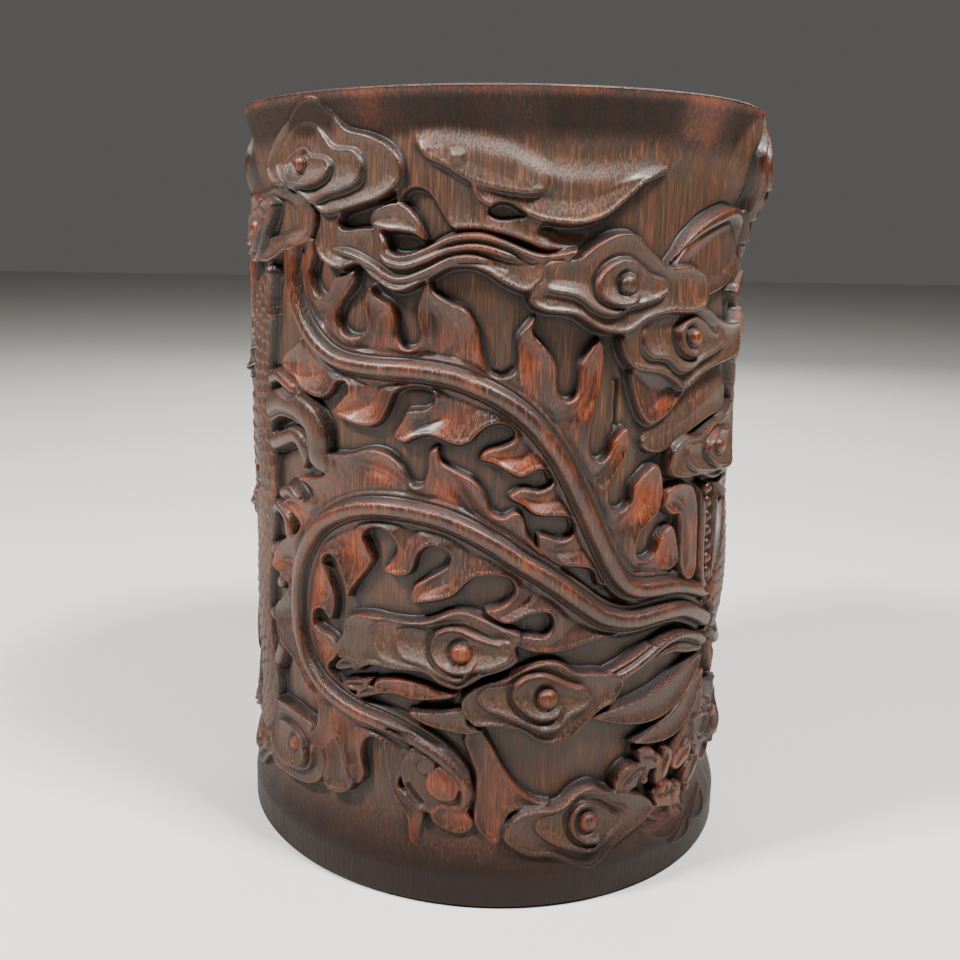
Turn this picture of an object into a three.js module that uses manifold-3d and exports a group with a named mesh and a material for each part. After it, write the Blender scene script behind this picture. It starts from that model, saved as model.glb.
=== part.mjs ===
// A brush pot cut from one bamboo culm, carved in relief with tail plumes and clouds.
// The floor is a disc let in from below and held by slanting bamboo pegs.
// Millimetres, +Z up, origin at the middle of the foot. Angle 0 faces -Y and grows towards +X.
import * as THREE from "three";
import { mergeVertices } from "three/addons/utils/BufferGeometryUtils.js";
import Module from "manifold-3d";

const wasm = await Module();
wasm.setup();

// Driving dimensions.
const HEIGHT = 160;
const CULM_RADIUS = 56; // the culm's own outside, which the rim, the foot and the relief's tops keep
const WALL = 9.5; // from the culm's outside to the bore
const CARVING_DEPTH = 4; // how far the ground lies below the culm's outside
const FOOT_BAND = 9; // plain band round the foot
const RIM_BAND = 13; // height over which the rim sweeps out
const LIP_WIDTH = 5; // flat top of the rim, before it rolls into the bore
const EDGE = 0.8; // chamfer on the foot and the lip
const FLOOR_THICKNESS = 7;
const FLOOR_RECESS = 1.5; // from the foot's underside up to the disc
const REBATE_DEPTH = 2.8; // how far the rebate for the disc is cut into the wall
const CLEARANCE = 0.3; // between pieces that touch
const PEG_DIAMETER = 2.6;
const PEG_LENGTH = 8; // longest side of a slanting peg, cut flush with the disc's underside
const PEG_COUNT = 4;
const PEG_SLANT = 50; // degrees from upright
const RIB_RADIUS = 3; // half round, standing on the ground
const KNOB_RADIUS = 2.6;
const PROUD_CLOUD = 3; // how far the clouds at the two sides of the rim stand out past the culm

// The carving is drawn in degrees round the pot and in millimetres up a pot of this height.
const DRAWN_HEIGHT = 160;

// What follows from them.
const BORE_RADIUS = CULM_RADIUS - WALL;
const GROUND_RADIUS = CULM_RADIUS - CARVING_DEPTH;
const REBATE_RADIUS = BORE_RADIUS + REBATE_DEPTH;
const DISC_RADIUS = REBATE_RADIUS - CLEARANCE;
const REBATE_TOP = FLOOR_RECESS + FLOOR_THICKNESS + CLEARANCE;
const LATHE_SEGMENTS = 48;
const BEYOND = 5; // how far a cutter runs past what it cuts
const MM_PER_DEGREE = (Math.PI * CULM_RADIUS) / 180; // round the culm's outside

// Middle lines of the tail plumes' ribs, from the bird's body to the plume's end.
const PLUMES = [
  [[52, 62], [38, 65], [27, 71], [15, 92.5], [5, 102], [-5, 107.5], [-20, 109.2], [-35, 111],
    [-44, 117], [-48, 129]],
  [[55, 57], [42, 59.5], [27, 59.5], [15, 66.5], [0, 77], [-16, 82], [-32, 80], [-43, 71],
    [-47.5, 56], [-42, 44], [-28, 38], [-14, 34], [-4, 26]],
  [[60, 125], [50, 133], [40, 131], [26, 124], [12, 130], [-2, 133.5], [-20, 130.5], [-34, 130]],
  [[100, 84], [84, 96], [70, 104], [62, 108], [50, 108.5]],
  [[62, 50], [50, 51.5], [38, 49.5], [28, 47]],
  [[232, 30], [250, 40], [262, 56], [276, 64], [290, 62], [300, 52]],
  [[238, 96], [252, 108], [268, 114], [284, 110], [296, 100]],
];

// Plates of the relief as closed outlines, each with the depth of its top below the culm's outside.
const LEAVES = [
  { top: 1.2, points: [[-15, 150], [-5, 150], [7, 146.5], [20, 145], [36, 146.5], [28, 141.5],
    [20, 137], [9, 136.5], [1, 139], [-8, 144]] },
  { top: 1.6, points: [[40, 131], [50, 136.5], [62, 138.5], [69, 128], [58, 123.5], [46, 126]] },
  { top: 2, points: [[20, 39], [30, 37.5], [44, 41], [58, 42], [50, 46], [36, 46], [26, 44]] },
  { top: 2.2, points: [[-16, 29], [-10, 33], [-3, 30], [-1, 25], [-5, 19], [-12, 12], [-16, 20]] },
];

// The bird, on the side away from angle 0: body, two wings and the crest.
const BIRD = [
  { top: 0.6, points: [[92, 62], [104, 74], [120, 80], [132, 92], [140, 108], [148, 112],
    [150, 100], [144, 84], [134, 68], [118, 54], [102, 52]] },
  { top: 1.2, points: [[112, 82], [104, 98], [108, 118], [122, 132], [128, 118], [126, 98], [122, 84]] },
  { top: 1.2, points: [[138, 72], [158, 62], [180, 62], [204, 74], [222, 94], [198, 92],
    [176, 90], [158, 86], [144, 82]] },
  { top: 0.6, points: [[140, 108], [146, 122], [156, 128], [168, 124], [160, 118], [154, 110], [149, 104]] },
];

// Clouds: middle (degrees, mm), half width in degrees, half height in mm, lean in degrees.
const CLOUDS = [
  [-34, 147, 17, 9.5, -8],
  [-47, 136, 9, 5, 10],
  [27, 124.5, 20, 8.5, -3],
  [45, 114, 17, 8, 0],
  [-9, 53.5, 17, 6, -6],
  [11, 44.5, 15, 7.5, 0],
  [22, 16.5, 17, 7, 0],
  [56, 91, 14, 6, 0],
  [-62, 92, 12, 7, 0],
  [-60, 24, 13, 8, 20],
  [178, 142, 20, 8, 0],
  [130, 144, 17, 8, 8],
  [224, 132, 17, 8, -6],
  [186, 108, 15, 7, 0],
  [150, 36, 19, 8, 4],
  [198, 40, 16, 7, -6],
  [106, 30, 17, 8, -4],
  [258, 84, 14, 6, 6],
  [286, 138, 14, 8, 0],
];
const CLOUD_TOP = 1.3; // depth of a cloud's plate below the culm's outside
const CLOUD_CORE = 0.55; // the raised middle, as a share of the cloud

// Clouds that stand proud at the two sides of the rim: [angle, height].
const PROUD_CLOUDS = [[78, 148], [-106, 146]];

// Side lobes of the plumes: how many on each side of a rib, how long and how wide.
const LOBES_PER_SIDE = [6, 6, 0, 0, 0, 3, 3];
const LOBE_LENGTH = 13;
const LOBE_WIDTH = 7;
const LOBE_TOP = 2;

const scaleUp = (z) => (z * HEIGHT) / DRAWN_HEIGHT;

// A point at an angle round the pot, a height and a radius.
function onCulm(degrees, z, radius) {
  const angle = THREE.MathUtils.degToRad(degrees);
  return new THREE.Vector3(radius * Math.sin(angle), -radius * Math.cos(angle), z);
}

// A closed three.js geometry as a solid that manifold-3d can join and cut.
function solid(geometry) {
  const bare = geometry.clone();
  bare.deleteAttribute("normal");
  bare.deleteAttribute("uv");
  const merged = mergeVertices(bare, 1e-4);
  return new wasm.Manifold(new wasm.Mesh({
    numProp: 3,
    vertProperties: new Float32Array(merged.attributes.position.array),
    triVerts: new Uint32Array(merged.index.array),
  }));
}

// A solid back as a named three.js mesh.
function piece(name, shape, material) {
  const mesh = shape.getMesh();
  const geometry = new THREE.BufferGeometry();
  geometry.setAttribute("position", new THREE.BufferAttribute(new Float32Array(mesh.vertProperties), 3));
  geometry.setIndex(new THREE.BufferAttribute(new Uint32Array(mesh.triVerts), 1));
  geometry.computeVertexNormals();
  const made = new THREE.Mesh(geometry, material);
  made.name = name;
  return made;
}

// A solid of revolution about Z from a profile of [radius, z] points, walked with the material on its left.
function turned(profile, segments = LATHE_SEGMENTS) {
  const points = profile.map(([radius, z]) => new THREE.Vector2(radius, z));
  return solid(new THREE.LatheGeometry(points, segments).rotateX(Math.PI / 2));
}

// A plain cylinder about Z, which cuts the bore and rounds off the plates.
function drum(radius, bottom, top) {
  return turned([[0, bottom], [radius, bottom], [radius, top], [0, top]]);
}

// An outline of [degrees, z] points pushed out through the wall along the radius at its middle,
// and cut off at the given radius.
function plate(outline, radius) {
  const middle = outline.reduce((sum, [degrees]) => sum + degrees, 0) / outline.length;
  const across = (degrees) => CULM_RADIUS * Math.sin(THREE.MathUtils.degToRad(degrees - middle));
  const corners = outline.map(([degrees, z]) => new THREE.Vector2(across(degrees), scaleUp(z)));
  const depth = CULM_RADIUS + PROUD_CLOUD + BEYOND;
  const prism = new THREE.ExtrudeGeometry(new THREE.Shape(corners), { depth, bevelEnabled: false });
  const outward = onCulm(middle, 0, 1);
  const up = new THREE.Vector3(0, 0, 1);
  const sideways = new THREE.Vector3().crossVectors(up, outward);
  prism.applyMatrix4(new THREE.Matrix4().makeBasis(sideways, up, outward));
  return solid(prism).intersect(drum(radius, 0, HEIGHT));
}

// A smooth closed outline through a few points.
function smoothOutline(points, samples) {
  const loop = new THREE.CatmullRomCurve3(points.map(([x, y]) => new THREE.Vector3(x, y, 0)), true);
  return loop.getPoints(samples).slice(0, -1).map((point) => [point.x, point.y]);
}

// A cloud's outline: an oval leaning to one side, or a share of it.
function cloudOutline([degrees, z, halfWidth, halfHeight, lean], share) {
  const samples = 14;
  const slope = Math.tan(THREE.MathUtils.degToRad(lean));
  return Array.from({ length: samples }, (_, i) => {
    const turn = (i / samples) * 2 * Math.PI;
    const across = halfWidth * share * Math.cos(turn);
    return [degrees + across, z + halfHeight * share * Math.sin(turn) + across * MM_PER_DEGREE * slope];
  });
}

// A cloud: its plate, a raised middle and a round knob.
function cloud(entry, proud = 0) {
  const top = CULM_RADIUS - CLOUD_TOP + proud;
  const [degrees, z] = entry;
  const knobMiddle = onCulm(degrees, scaleUp(z), CULM_RADIUS + proud - KNOB_RADIUS);
  const knob = new THREE.SphereGeometry(KNOB_RADIUS, 10, 6);
  knob.translate(knobMiddle.x, knobMiddle.y, knobMiddle.z);
  return plate(cloudOutline(entry, 1), top)
    .add(plate(cloudOutline(entry, CLOUD_CORE), top + CLOUD_TOP / 2))
    .add(solid(knob));
}

// A rib swept round the pot along [degrees, z] points.
function rib(points) {
  const path = new THREE.CatmullRomCurve3(
    points.map(([degrees, z]) => onCulm(degrees, scaleUp(z), GROUND_RADIUS)),
  );
  const section = new THREE.Shape(
    Array.from({ length: 6 }, (_, i) => {
      const turn = (i / 6) * 2 * Math.PI;
      return new THREE.Vector2(RIB_RADIUS * Math.cos(turn), RIB_RADIUS * Math.sin(turn));
    }),
  );
  const steps = Math.round(path.getLength() / (2.5 * RIB_RADIUS));
  return solid(new THREE.ExtrudeGeometry(section, { extrudePath: path, steps, bevelEnabled: false }));
}

// The flame-shaped lobes along both sides of a rib, each bent back towards the plume's end.
function lobes(points, count) {
  const line = new THREE.SplineCurve(points.map(([degrees, z]) => new THREE.Vector2(degrees, z)));
  const made = [];
  for (let i = 0; i < count; i += 1) {
    for (const side of [-1, 1]) {
      const share = (i + (side > 0 ? 0.75 : 0.4)) / count;
      const base = line.getPoint(share);
      const along = line.getTangent(share);
      along.x *= MM_PER_DEGREE;
      along.normalize();
      const away = new THREE.Vector2(-along.y, along.x).multiplyScalar(side);
      const place = (forward, out) => [
        base.x + (along.x * forward + away.x * out) / MM_PER_DEGREE,
        base.y + along.y * forward + away.y * out,
      ];
      const outline = smoothOutline([
        place(-LOBE_WIDTH / 2, 0),
        place(-LOBE_WIDTH / 3, LOBE_LENGTH * 0.45),
        place(LOBE_WIDTH / 2, LOBE_LENGTH),
        place(LOBE_WIDTH / 3, LOBE_LENGTH * 0.5),
        place(LOBE_WIDTH, 0),
      ], 8);
      made.push(plate(outline, CULM_RADIUS - LOBE_TOP));
    }
  }
  return made;
}

// The culm before its relief is added: foot band, carved ground and the rim that sweeps out.
function culmBlank() {
  const sweepSteps = 4;
  const sweep = Array.from({ length: sweepSteps }, (_, i) => {
    const turn = ((i + 1) / sweepSteps) * (Math.PI / 2);
    return [
      GROUND_RADIUS + CARVING_DEPTH * (1 - Math.cos(turn)),
      HEIGHT - RIM_BAND + (RIM_BAND - EDGE) * Math.sin(turn),
    ];
  });
  return turned([
    [0, 0],
    [CULM_RADIUS - EDGE, 0],
    [CULM_RADIUS, EDGE],
    [CULM_RADIUS, FOOT_BAND],
    [GROUND_RADIUS, FOOT_BAND + CARVING_DEPTH],
    [GROUND_RADIUS, HEIGHT - RIM_BAND],
    ...sweep,
    [CULM_RADIUS - EDGE, HEIGHT],
    [0, HEIGHT],
  ]);
}

// The bore, with the lip's roll at its mouth and the rebate for the floor disc at its foot.
function boreCutter() {
  const roll = WALL - LIP_WIDTH;
  return turned([
    [0, -BEYOND],
    [REBATE_RADIUS + EDGE + BEYOND, -BEYOND],
    [REBATE_RADIUS, EDGE],
    [REBATE_RADIUS, REBATE_TOP],
    [BORE_RADIUS, REBATE_TOP],
    [BORE_RADIUS, HEIGHT - roll],
    [BORE_RADIUS + roll * 0.3, HEIGHT - roll * 0.3],
    [BORE_RADIUS + roll, HEIGHT],
    [BORE_RADIUS + roll, HEIGHT + BEYOND],
    [0, HEIGHT + BEYOND],
  ]);
}

// A slanting peg or, grown by the clearance, the hole that it fills. Its head is at the disc's underside.
function pegBar(index, grow) {
  const degrees = 45 + (360 / PEG_COUNT) * index;
  const radius = PEG_DIAMETER / 2 + grow;
  const bar = new THREE.CylinderGeometry(radius, radius, PEG_LENGTH + grow, 12);
  bar.translate(0, (PEG_LENGTH + grow) / 2 - PEG_DIAMETER, 0);
  const headRadius = DISC_RADIUS - PEG_DIAMETER;
  const outward = onCulm(degrees, 0, Math.sin(THREE.MathUtils.degToRad(PEG_SLANT)));
  outward.z = Math.cos(THREE.MathUtils.degToRad(PEG_SLANT));
  bar.applyQuaternion(new THREE.Quaternion().setFromUnitVectors(new THREE.Vector3(0, 1, 0), outward));
  const head = onCulm(degrees, FLOOR_RECESS, headRadius);
  bar.translate(head.x, head.y, head.z);
  return solid(bar);
}

function culmWall() {
  const clouds = CLOUDS.map((entry) => cloud(entry));
  const proud = PROUD_CLOUDS.map(([degrees, z]) => cloud([degrees, z, 13, 9, 0], PROUD_CLOUD));
  const sheets = [...LEAVES, ...BIRD].map(({ top, points }) =>
    plate(smoothOutline(points, 17), CULM_RADIUS - top));
  const relief = [...clouds, ...proud, ...sheets, ...PLUMES.map(rib)];
  PLUMES.forEach((points, i) => relief.push(...lobes(points, LOBES_PER_SIDE[i])));
  let wall = relief.reduce((sum, part) => sum.add(part), culmBlank());
  wall = wall.subtract(boreCutter());
  for (let i = 0; i < PEG_COUNT; i += 1) wall = wall.subtract(pegBar(i, CLEARANCE));
  return wall;
}

function floorDisc() {
  let disc = drum(DISC_RADIUS, FLOOR_RECESS, FLOOR_RECESS + FLOOR_THICKNESS);
  for (let i = 0; i < PEG_COUNT; i += 1) disc = disc.subtract(pegBar(i, CLEARANCE));
  return disc;
}

// A peg with its head pared off flush with the disc's underside.
function floorPeg(index) {
  return pegBar(index, 0).intersect(drum(CULM_RADIUS, FLOOR_RECESS, HEIGHT));
}

const culmMaterial = new THREE.MeshStandardMaterial({ color: 0x6b3a26, roughness: 0.42, metalness: 0 });
const discMaterial = new THREE.MeshStandardMaterial({ color: 0x4a2a1c, roughness: 0.6, metalness: 0 });
const pegMaterial = new THREE.MeshStandardMaterial({ color: 0x9a6a3c, roughness: 0.55, metalness: 0 });

const pot = new THREE.Group();
pot.add(piece("carved_culm_wall", culmWall(), culmMaterial));
pot.add(piece("floor_disc", floorDisc(), discMaterial));
for (let i = 0; i < PEG_COUNT; i += 1) pot.add(piece(`floor_peg_${i + 1}`, floorPeg(i), pegMaterial));

export default pot;
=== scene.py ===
"""Looks of a carved bamboo brush pot: the relief wall, the let-in floor disc, its pegs and a plain stage.

The relief is worked out in millimetres on a grid of angle and height, as a depth below the culm's own
outside, and is laid down motif by motif, from the back to the front, as a carver draws it.
"""

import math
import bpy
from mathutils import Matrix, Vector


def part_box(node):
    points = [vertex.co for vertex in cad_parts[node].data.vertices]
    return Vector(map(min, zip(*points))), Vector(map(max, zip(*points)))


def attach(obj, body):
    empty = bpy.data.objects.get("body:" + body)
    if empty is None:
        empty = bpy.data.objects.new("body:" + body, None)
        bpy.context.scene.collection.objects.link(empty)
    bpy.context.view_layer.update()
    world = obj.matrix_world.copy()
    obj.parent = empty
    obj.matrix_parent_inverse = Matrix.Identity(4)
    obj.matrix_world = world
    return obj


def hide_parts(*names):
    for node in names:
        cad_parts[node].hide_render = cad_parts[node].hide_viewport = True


bl_info = {
    "name": "Carved bamboo brush pot",
    "version": (1, 0, 0),
    "blender": (4, 5, 0),
    "location": "3D View > Sidebar > Brush Pot",
    "description": "Builds a brush pot cut from a culm and carved in relief, with its let-in floor",
    "category": "Add Mesh",
}

import bpy
import numpy as np
from mathutils import Matrix, Vector

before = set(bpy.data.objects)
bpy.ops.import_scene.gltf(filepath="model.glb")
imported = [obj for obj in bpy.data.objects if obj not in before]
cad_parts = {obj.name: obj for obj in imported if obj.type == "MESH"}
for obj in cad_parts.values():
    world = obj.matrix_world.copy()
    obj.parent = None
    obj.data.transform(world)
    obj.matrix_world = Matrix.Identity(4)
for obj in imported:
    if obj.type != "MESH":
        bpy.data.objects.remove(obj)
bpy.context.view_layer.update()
WALL_NODE = "carved_culm_wall"
DISC_NODE = "floor_disc"
PEG_NODES = sorted(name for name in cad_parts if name.startswith("floor_peg"))
WALL_LOW, WALL_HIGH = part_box(WALL_NODE)
DISC_LOW, DISC_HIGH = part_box(DISC_NODE)
MM = 0.001

# The carving is drawn in degrees round the pot and millimetres up a pot of this height and radius.
DRAWN_HEIGHT = 160.0
DRAWN_RADIUS = 56.0
MM_PER_DEGREE = DRAWN_RADIUS * math.pi / 180

# The grid: columns round the pot, which the sectors share out evenly, and rows up its outside.
SECTORS = 9
COLUMNS = 156 * SECTORS
ROWS = 588

# The carved face, in mm up the pot: its lowest and its highest row. Where nothing is carved, this is how warm
# its ground is.
FACE_LOW = 0.9
FACE_HIGH = DRAWN_HEIGHT - 0.35
GROUND_WARMTH = 0.12

# The rest of the wall's section, in mm: the lip's outer edge, its roll into the bore and the foot's chamfers,
# and how many points each stretch of it has.
LIP_EDGE = 0.6
LIP_EDGE_POINTS = 6
LIP_ROLL = 4.4
LIP_ROLL_POINTS = 9
BORE_POINTS = 9
FOOT_CHAMFER = 0.8

# The floor disc, in mm: its eased edges, how deep its top is dished, and the height of its turning rings.
# Their rate is how many radians of rings there are from the middle to the edge.
DISC_EASE = 0.4
DISC_DISH = 0.35
RING_HEIGHT = 0.03
RING_RATE = 190

# The stage, in metres: half the backdrop's width, and each light's name, place, width and power in watts.
BACKDROP_HALF = 3.0
WORLD_STRENGTH = 0.14
LIGHTS = (("key", (-0.5, -0.3, 0.7), 0.12, 17.0),
          ("top", (0.3, -0.24, 0.72), 0.14, 13.5),
          ("back", (0.1, 0.7, 0.5), 0.5, 4.0))

# The camera: where it stands in metres, how it is turned in radians, and its lens in millimetres.
CAMERA_PLACE = (0, -0.25622, 0.13492)
CAMERA_PITCH = 0.21264
CAMERA_ROLL = 0.01225
CAMERA_YAW = -0.063
SENSOR_WIDTH = 36
FOCAL_LENGTH = 41.25
LENS_SHIFT = (0.0611, -0.0129)


# ---------------------------------------------------------------- settings

class BrushPotSizes(bpy.types.PropertyGroup):
    """Sizes of the pot, in metres, with the frame's own as defaults."""

    height: bpy.props.FloatProperty(
        name="Height", description="From the foot to the rim", default=WALL_HIGH[2], unit="LENGTH")
    radius: bpy.props.FloatProperty(
        name="Culm radius", description="The culm's own outside, which rim and foot keep",
        default=(WALL_HIGH[1] - WALL_LOW[1]) / 2, unit="LENGTH")
    bore: bpy.props.FloatProperty(
        name="Bore radius", description="Inside of the wall", default=DISC_HIGH[0] - 2.5 * MM, unit="LENGTH")
    depth: bpy.props.FloatProperty(
        name="Carving depth", description="From the culm's outside to the ground of the relief",
        default=4 * MM, unit="LENGTH")
    disc_gap: bpy.props.FloatProperty(
        name="Gap", description="Between the floor disc and its rebate", default=0.3 * MM, unit="LENGTH")


class BrushPotColours(bpy.types.PropertyGroup):
    """Colours of the patina, as the eye sees them in soft light."""

    ground: bpy.props.StringProperty(name="Ground", description="Scraped ground of the relief",
                                     default="46301f")
    high: bpy.props.StringProperty(name="Stained", description="Stained feathers and ribs", default="321b12")
    fibre: bpy.props.StringProperty(name="Fibre", description="Pale ends of the fibres", default="80593c")
    ember: bpy.props.StringProperty(name="Ember", description="Red glow of thin lacquer", default="943f06")
    # Dark also paints the shade in the hollows, creases and edges, and the dark fibre streaks.
    dark: bpy.props.StringProperty(name="Dark", description="Old wax in the recesses", default="120907")
    # Foot also paints shade that darkens the wall towards the bottom, as well as the foot band.
    foot: bpy.props.StringProperty(name="Foot", description="Dark foot band", default="160d0b")


def linear(hex_colour):
    """An sRGB hex value as linear red, green, blue and alpha."""
    channels = [int(hex_colour[i:i + 2], 16) / 255 for i in (0, 2, 4)]
    return [c / 12.92 if c <= 0.04045 else ((c + 0.055) / 1.055) ** 2.4 for c in channels] + [1.0]


# ---------------------------------------------------------------- lines and distances

def smooth(low, high, value):
    """0 below low, 1 above high, and an S-curve between them."""
    share = np.clip((value - low) / (high - low), 0, 1)
    return share * share * (3 - 2 * share)


def flowing(points, closed=False, steps=5):
    """A Catmull-Rom curve through [degrees, mm] points, as an array of [mm, mm] points on the unrolled
    wall."""
    p = np.asarray(points, float) * [MM_PER_DEGREE, 1]
    if closed:
        padded = np.vstack([p[-1], p, p[:2]])
    else:
        padded = np.vstack([2 * p[0] - p[1], p, 2 * p[-1] - p[-2]])
    a, b, c, d = (padded[i:len(padded) - 3 + i, None, :] for i in range(4))
    t = (np.arange(steps) / steps)[None, :, None]
    curve = 0.5 * (2 * b + (c - a) * t + (2 * a - 5 * b + 4 * c - d) * t ** 2
                   + (3 * b - a - 3 * c + d) * t ** 3)
    curve = curve.reshape(-1, 2)
    return curve if closed else np.vstack([curve, p[-1]])


def to_line(x, y, line, closed=False):
    """Distance from each point to a polyline, its side (positive on the left), and the share of the way
    along."""
    start = line if closed else line[:-1]
    end = np.roll(line, -1, axis=0) if closed else line[1:]
    run = end - start
    length = np.hypot(run[:, 0], run[:, 1]) + 1e-9
    before = np.concatenate([[0], np.cumsum(length)])
    points = np.column_stack([x.ravel(), y.ravel()])
    best, side, along = np.empty(len(points)), np.empty(len(points)), np.empty(len(points))
    inside = np.zeros(len(points), bool)
    chunk = max(1, 3_000_000 // len(start))
    for first in range(0, len(points), chunk):
        part = points[first:first + chunk, None, :]
        gap = part - start
        share = np.clip((gap * run).sum(-1) / length ** 2, 0, 1)
        offset = gap - share[..., None] * run
        square = (offset ** 2).sum(-1)
        near = square.argmin(1)
        rows = np.arange(len(near))
        best[first:first + chunk] = np.sqrt(square[rows, near])
        cross = run[near, 0] * gap[rows, near, 1] - run[near, 1] * gap[rows, near, 0]
        side[first:first + chunk] = np.sign(cross)
        along[first:first + chunk] = (before[near] + share[rows, near] * length[near]) / before[-1]
        if closed:
            above = start[:, 1] > part[..., 1]
            crosses = above != (end[:, 1] > part[..., 1])
            rise = np.where(np.abs(run[:, 1]) < 1e-9, 1e-9, run[:, 1])
            reach = start[:, 0] + (part[..., 1] - start[:, 1]) * run[:, 0] / rise
            inside[first:first + chunk] = (crosses & (part[..., 0] < reach)).sum(1) % 2 == 1
    shape = x.shape
    if closed:
        best = np.where(inside, best, -best)
    return best.reshape(shape), side.reshape(shape), along.reshape(shape)


# ---------------------------------------------------------------- the relief as a height field

class Relief:
    """Depth below the culm's outside (mm, negative inwards) on the unrolled wall, with how warm it is and
    the painted shade along its edges and creases."""

    def __init__(self, depth):
        self.depth = depth
        self.angles = -180 + 360 * np.arange(COLUMNS) / COLUMNS
        self.heights = np.linspace(FACE_LOW, FACE_HIGH, ROWS)
        self.blank = self.culm_blank()[:, None] * np.ones(COLUMNS)
        self.level = self.blank.copy()
        self.warm = np.full((ROWS, COLUMNS), GROUND_WARMTH)
        # Painted shade: dark lines along edges, grooves and creases, where shadow would fall.
        self.painted_shade = np.zeros((ROWS, COLUMNS))

    def culm_blank(self):
        """The wall before carving: foot band, a hollow sweep up to the ground, and the rim's outward
        sweep."""
        foot_band, foot_sweep, rim_start, rim_sweep = 7, 15, 143.5, 16
        risen = np.clip((self.heights - foot_band) / foot_sweep, 0, 1)
        foot = self.depth * (1 - smooth(0, 1, risen) ** 0.7)
        rim = self.depth * np.clip((self.heights - rim_start) / rim_sweep, 0, 1) ** 1.7
        return -self.depth + foot + rim

    def window(self, line, margin):
        """Rows, columns and unrolled coordinates of the part of the wall round a line."""
        low, high = line.min(0) - margin, line.max(0) + margin
        step = 360 / COLUMNS
        first = int(np.floor((low[0] / MM_PER_DEGREE + 180) / step))
        last = int(np.ceil((high[0] / MM_PER_DEGREE + 180) / step)) + 1
        columns = np.arange(first, min(last, first + COLUMNS))
        rows = np.nonzero((self.heights >= low[1]) & (self.heights <= high[1]))[0]
        if not len(rows):
            rows = np.array([0])
        x = (-180 + columns * step) * MM_PER_DEGREE
        x, y = np.meshgrid(x, self.heights[rows])
        return np.ix_(rows, columns % COLUMNS), x, y

    def lay(self, cells, mask, level, warm, shade=None):
        """Puts a motif over what is there: mask 1 is the motif, 0 what was there before."""
        self.level[cells] = self.level[cells] * (1 - mask) + level * mask
        self.warm[cells] = self.warm[cells] * (1 - mask) + warm * mask
        # The motif clears the painted shade under it and lays its own painted shade, if given.
        self.painted_shade[cells] = self.painted_shade[cells] * (1 - mask)
        if shade is not None:
            self.painted_shade[cells] = np.maximum(self.painted_shade[cells], shade)

    def plate(self, points, top, dish=0.8, rim=0.3, tilt=0.0, warm=0.2, reach=3.2, soft=0.0,
              closed_line=None):
        """A flat motif with a closed outline. Its level is top, plus a bead along its edge, minus a dish in
        its middle, plus a slant of tilt mm that lifts its lower side. Its edge wall is warm, and painted
        shade darkens the ground along its edge where it stands proud, and its own edge where it sinks. Its
        upper edge melts into what lies above it over soft mm."""
        line = flowing(points, closed=True) if closed_line is None else closed_line
        cells, x, y = self.window(line, 2.5 + soft)
        inner, _, _ = to_line(x, y, line, closed=True)
        middle, half = (line.min(0) + line.max(0)) / 2, (line.max(0) - line.min(0)) / 2
        slant = ((x - middle[0]) * 0.12 / half[0] - (y - middle[1]) / half[1]) * tilt * 1.3
        upper = 0.0
        if soft:
            up, _ = np.gradient(inner, self.heights[1] - self.heights[0])
            upper = smooth(0.1, 0.7, -up)
            for _ in range(12):
                upper[1:-1, 1:-1] = (upper[:-2, 1:-1] + upper[2:, 1:-1]
                                     + upper[1:-1, :-2] + upper[1:-1, 2:]) / 4
        bead = rim * np.exp(-((inner - 0.6) / 0.42) ** 2) * (1 - upper)
        level = top + slant - dish * smooth(0.6, reach, inner)
        level = np.maximum(level, self.blank[cells] + 0.15 * (1 - upper)) + bead
        heat = warm + 0.3 * np.exp(-((inner - 0.1) / 0.35) ** 2) * (1 - upper)
        # Painted shade: a dark line beside the edge, wider where the plate stands higher, and inside the edge
        # where it sinks.
        drop = np.clip((level - self.level[cells]) / 1.2, 0, 1) * (1 - upper)
        deep = 0.4 + 0.6 * np.clip((level - self.level[cells]) / 1.2 - 0.8, 0, 1)
        shade = np.exp(-(np.minimum(inner + 0.3, 0) / deep) ** 2) * (inner < 0.1) * drop
        sunk = np.clip((self.level[cells] - level) / 0.8, 0, 1) * (1 - upper)
        shade = np.maximum(shade, np.exp(-(np.maximum(inner - 0.2, 0) / 0.45) ** 2) * (inner > -0.2) * sunk)
        reach_out = 0.24 + soft * upper
        self.lay(cells, smooth(-reach_out, reach_out, inner), level, heat, shade)

    def rib(self, points, width, top, groove=0.5, warm=0.3, ends=(0.02, 0.02), thin=0.0):
        """A half-round rib along a curve: a circle-shaped crown of the width given, with a groove on each
        side. Its ends taper; thin narrows it by that share from its start to its end."""
        line = flowing(points)
        cells, x, y = self.window(line, width + 2)
        gap, _, along = to_line(x, y, line)
        taper = smooth(0, max(ends[0], 1e-3), along) * smooth(0, max(ends[1], 1e-3), 1 - along)
        half = width / 2 * (0.15 + 0.85 * taper) * (1 - thin * along)
        crown = np.sqrt(np.clip(1 - (gap / half) ** 2, 0, 1))
        height = np.minimum(half, 1.35)
        level = top - height * (1 - crown) - 1.2 * (1 - taper)
        level = np.maximum(level, self.blank[cells] + 0.3)
        ditch = groove * np.exp(-((gap - half - 0.35) / 0.45) ** 2) * taper
        self.level[cells] -= ditch * (gap > half * 0.8)
        # Painted shade in the grooves beside the rib.
        shade = 0.8 * np.exp(-((gap - half - 0.25) / 0.35) ** 2) * taper
        self.painted_shade[cells] = np.maximum(self.painted_shade[cells], shade)
        mask = smooth(-0.3, 0.3, half - gap) * (taper > 0.01)
        self.lay(cells, mask, level, warm)

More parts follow.
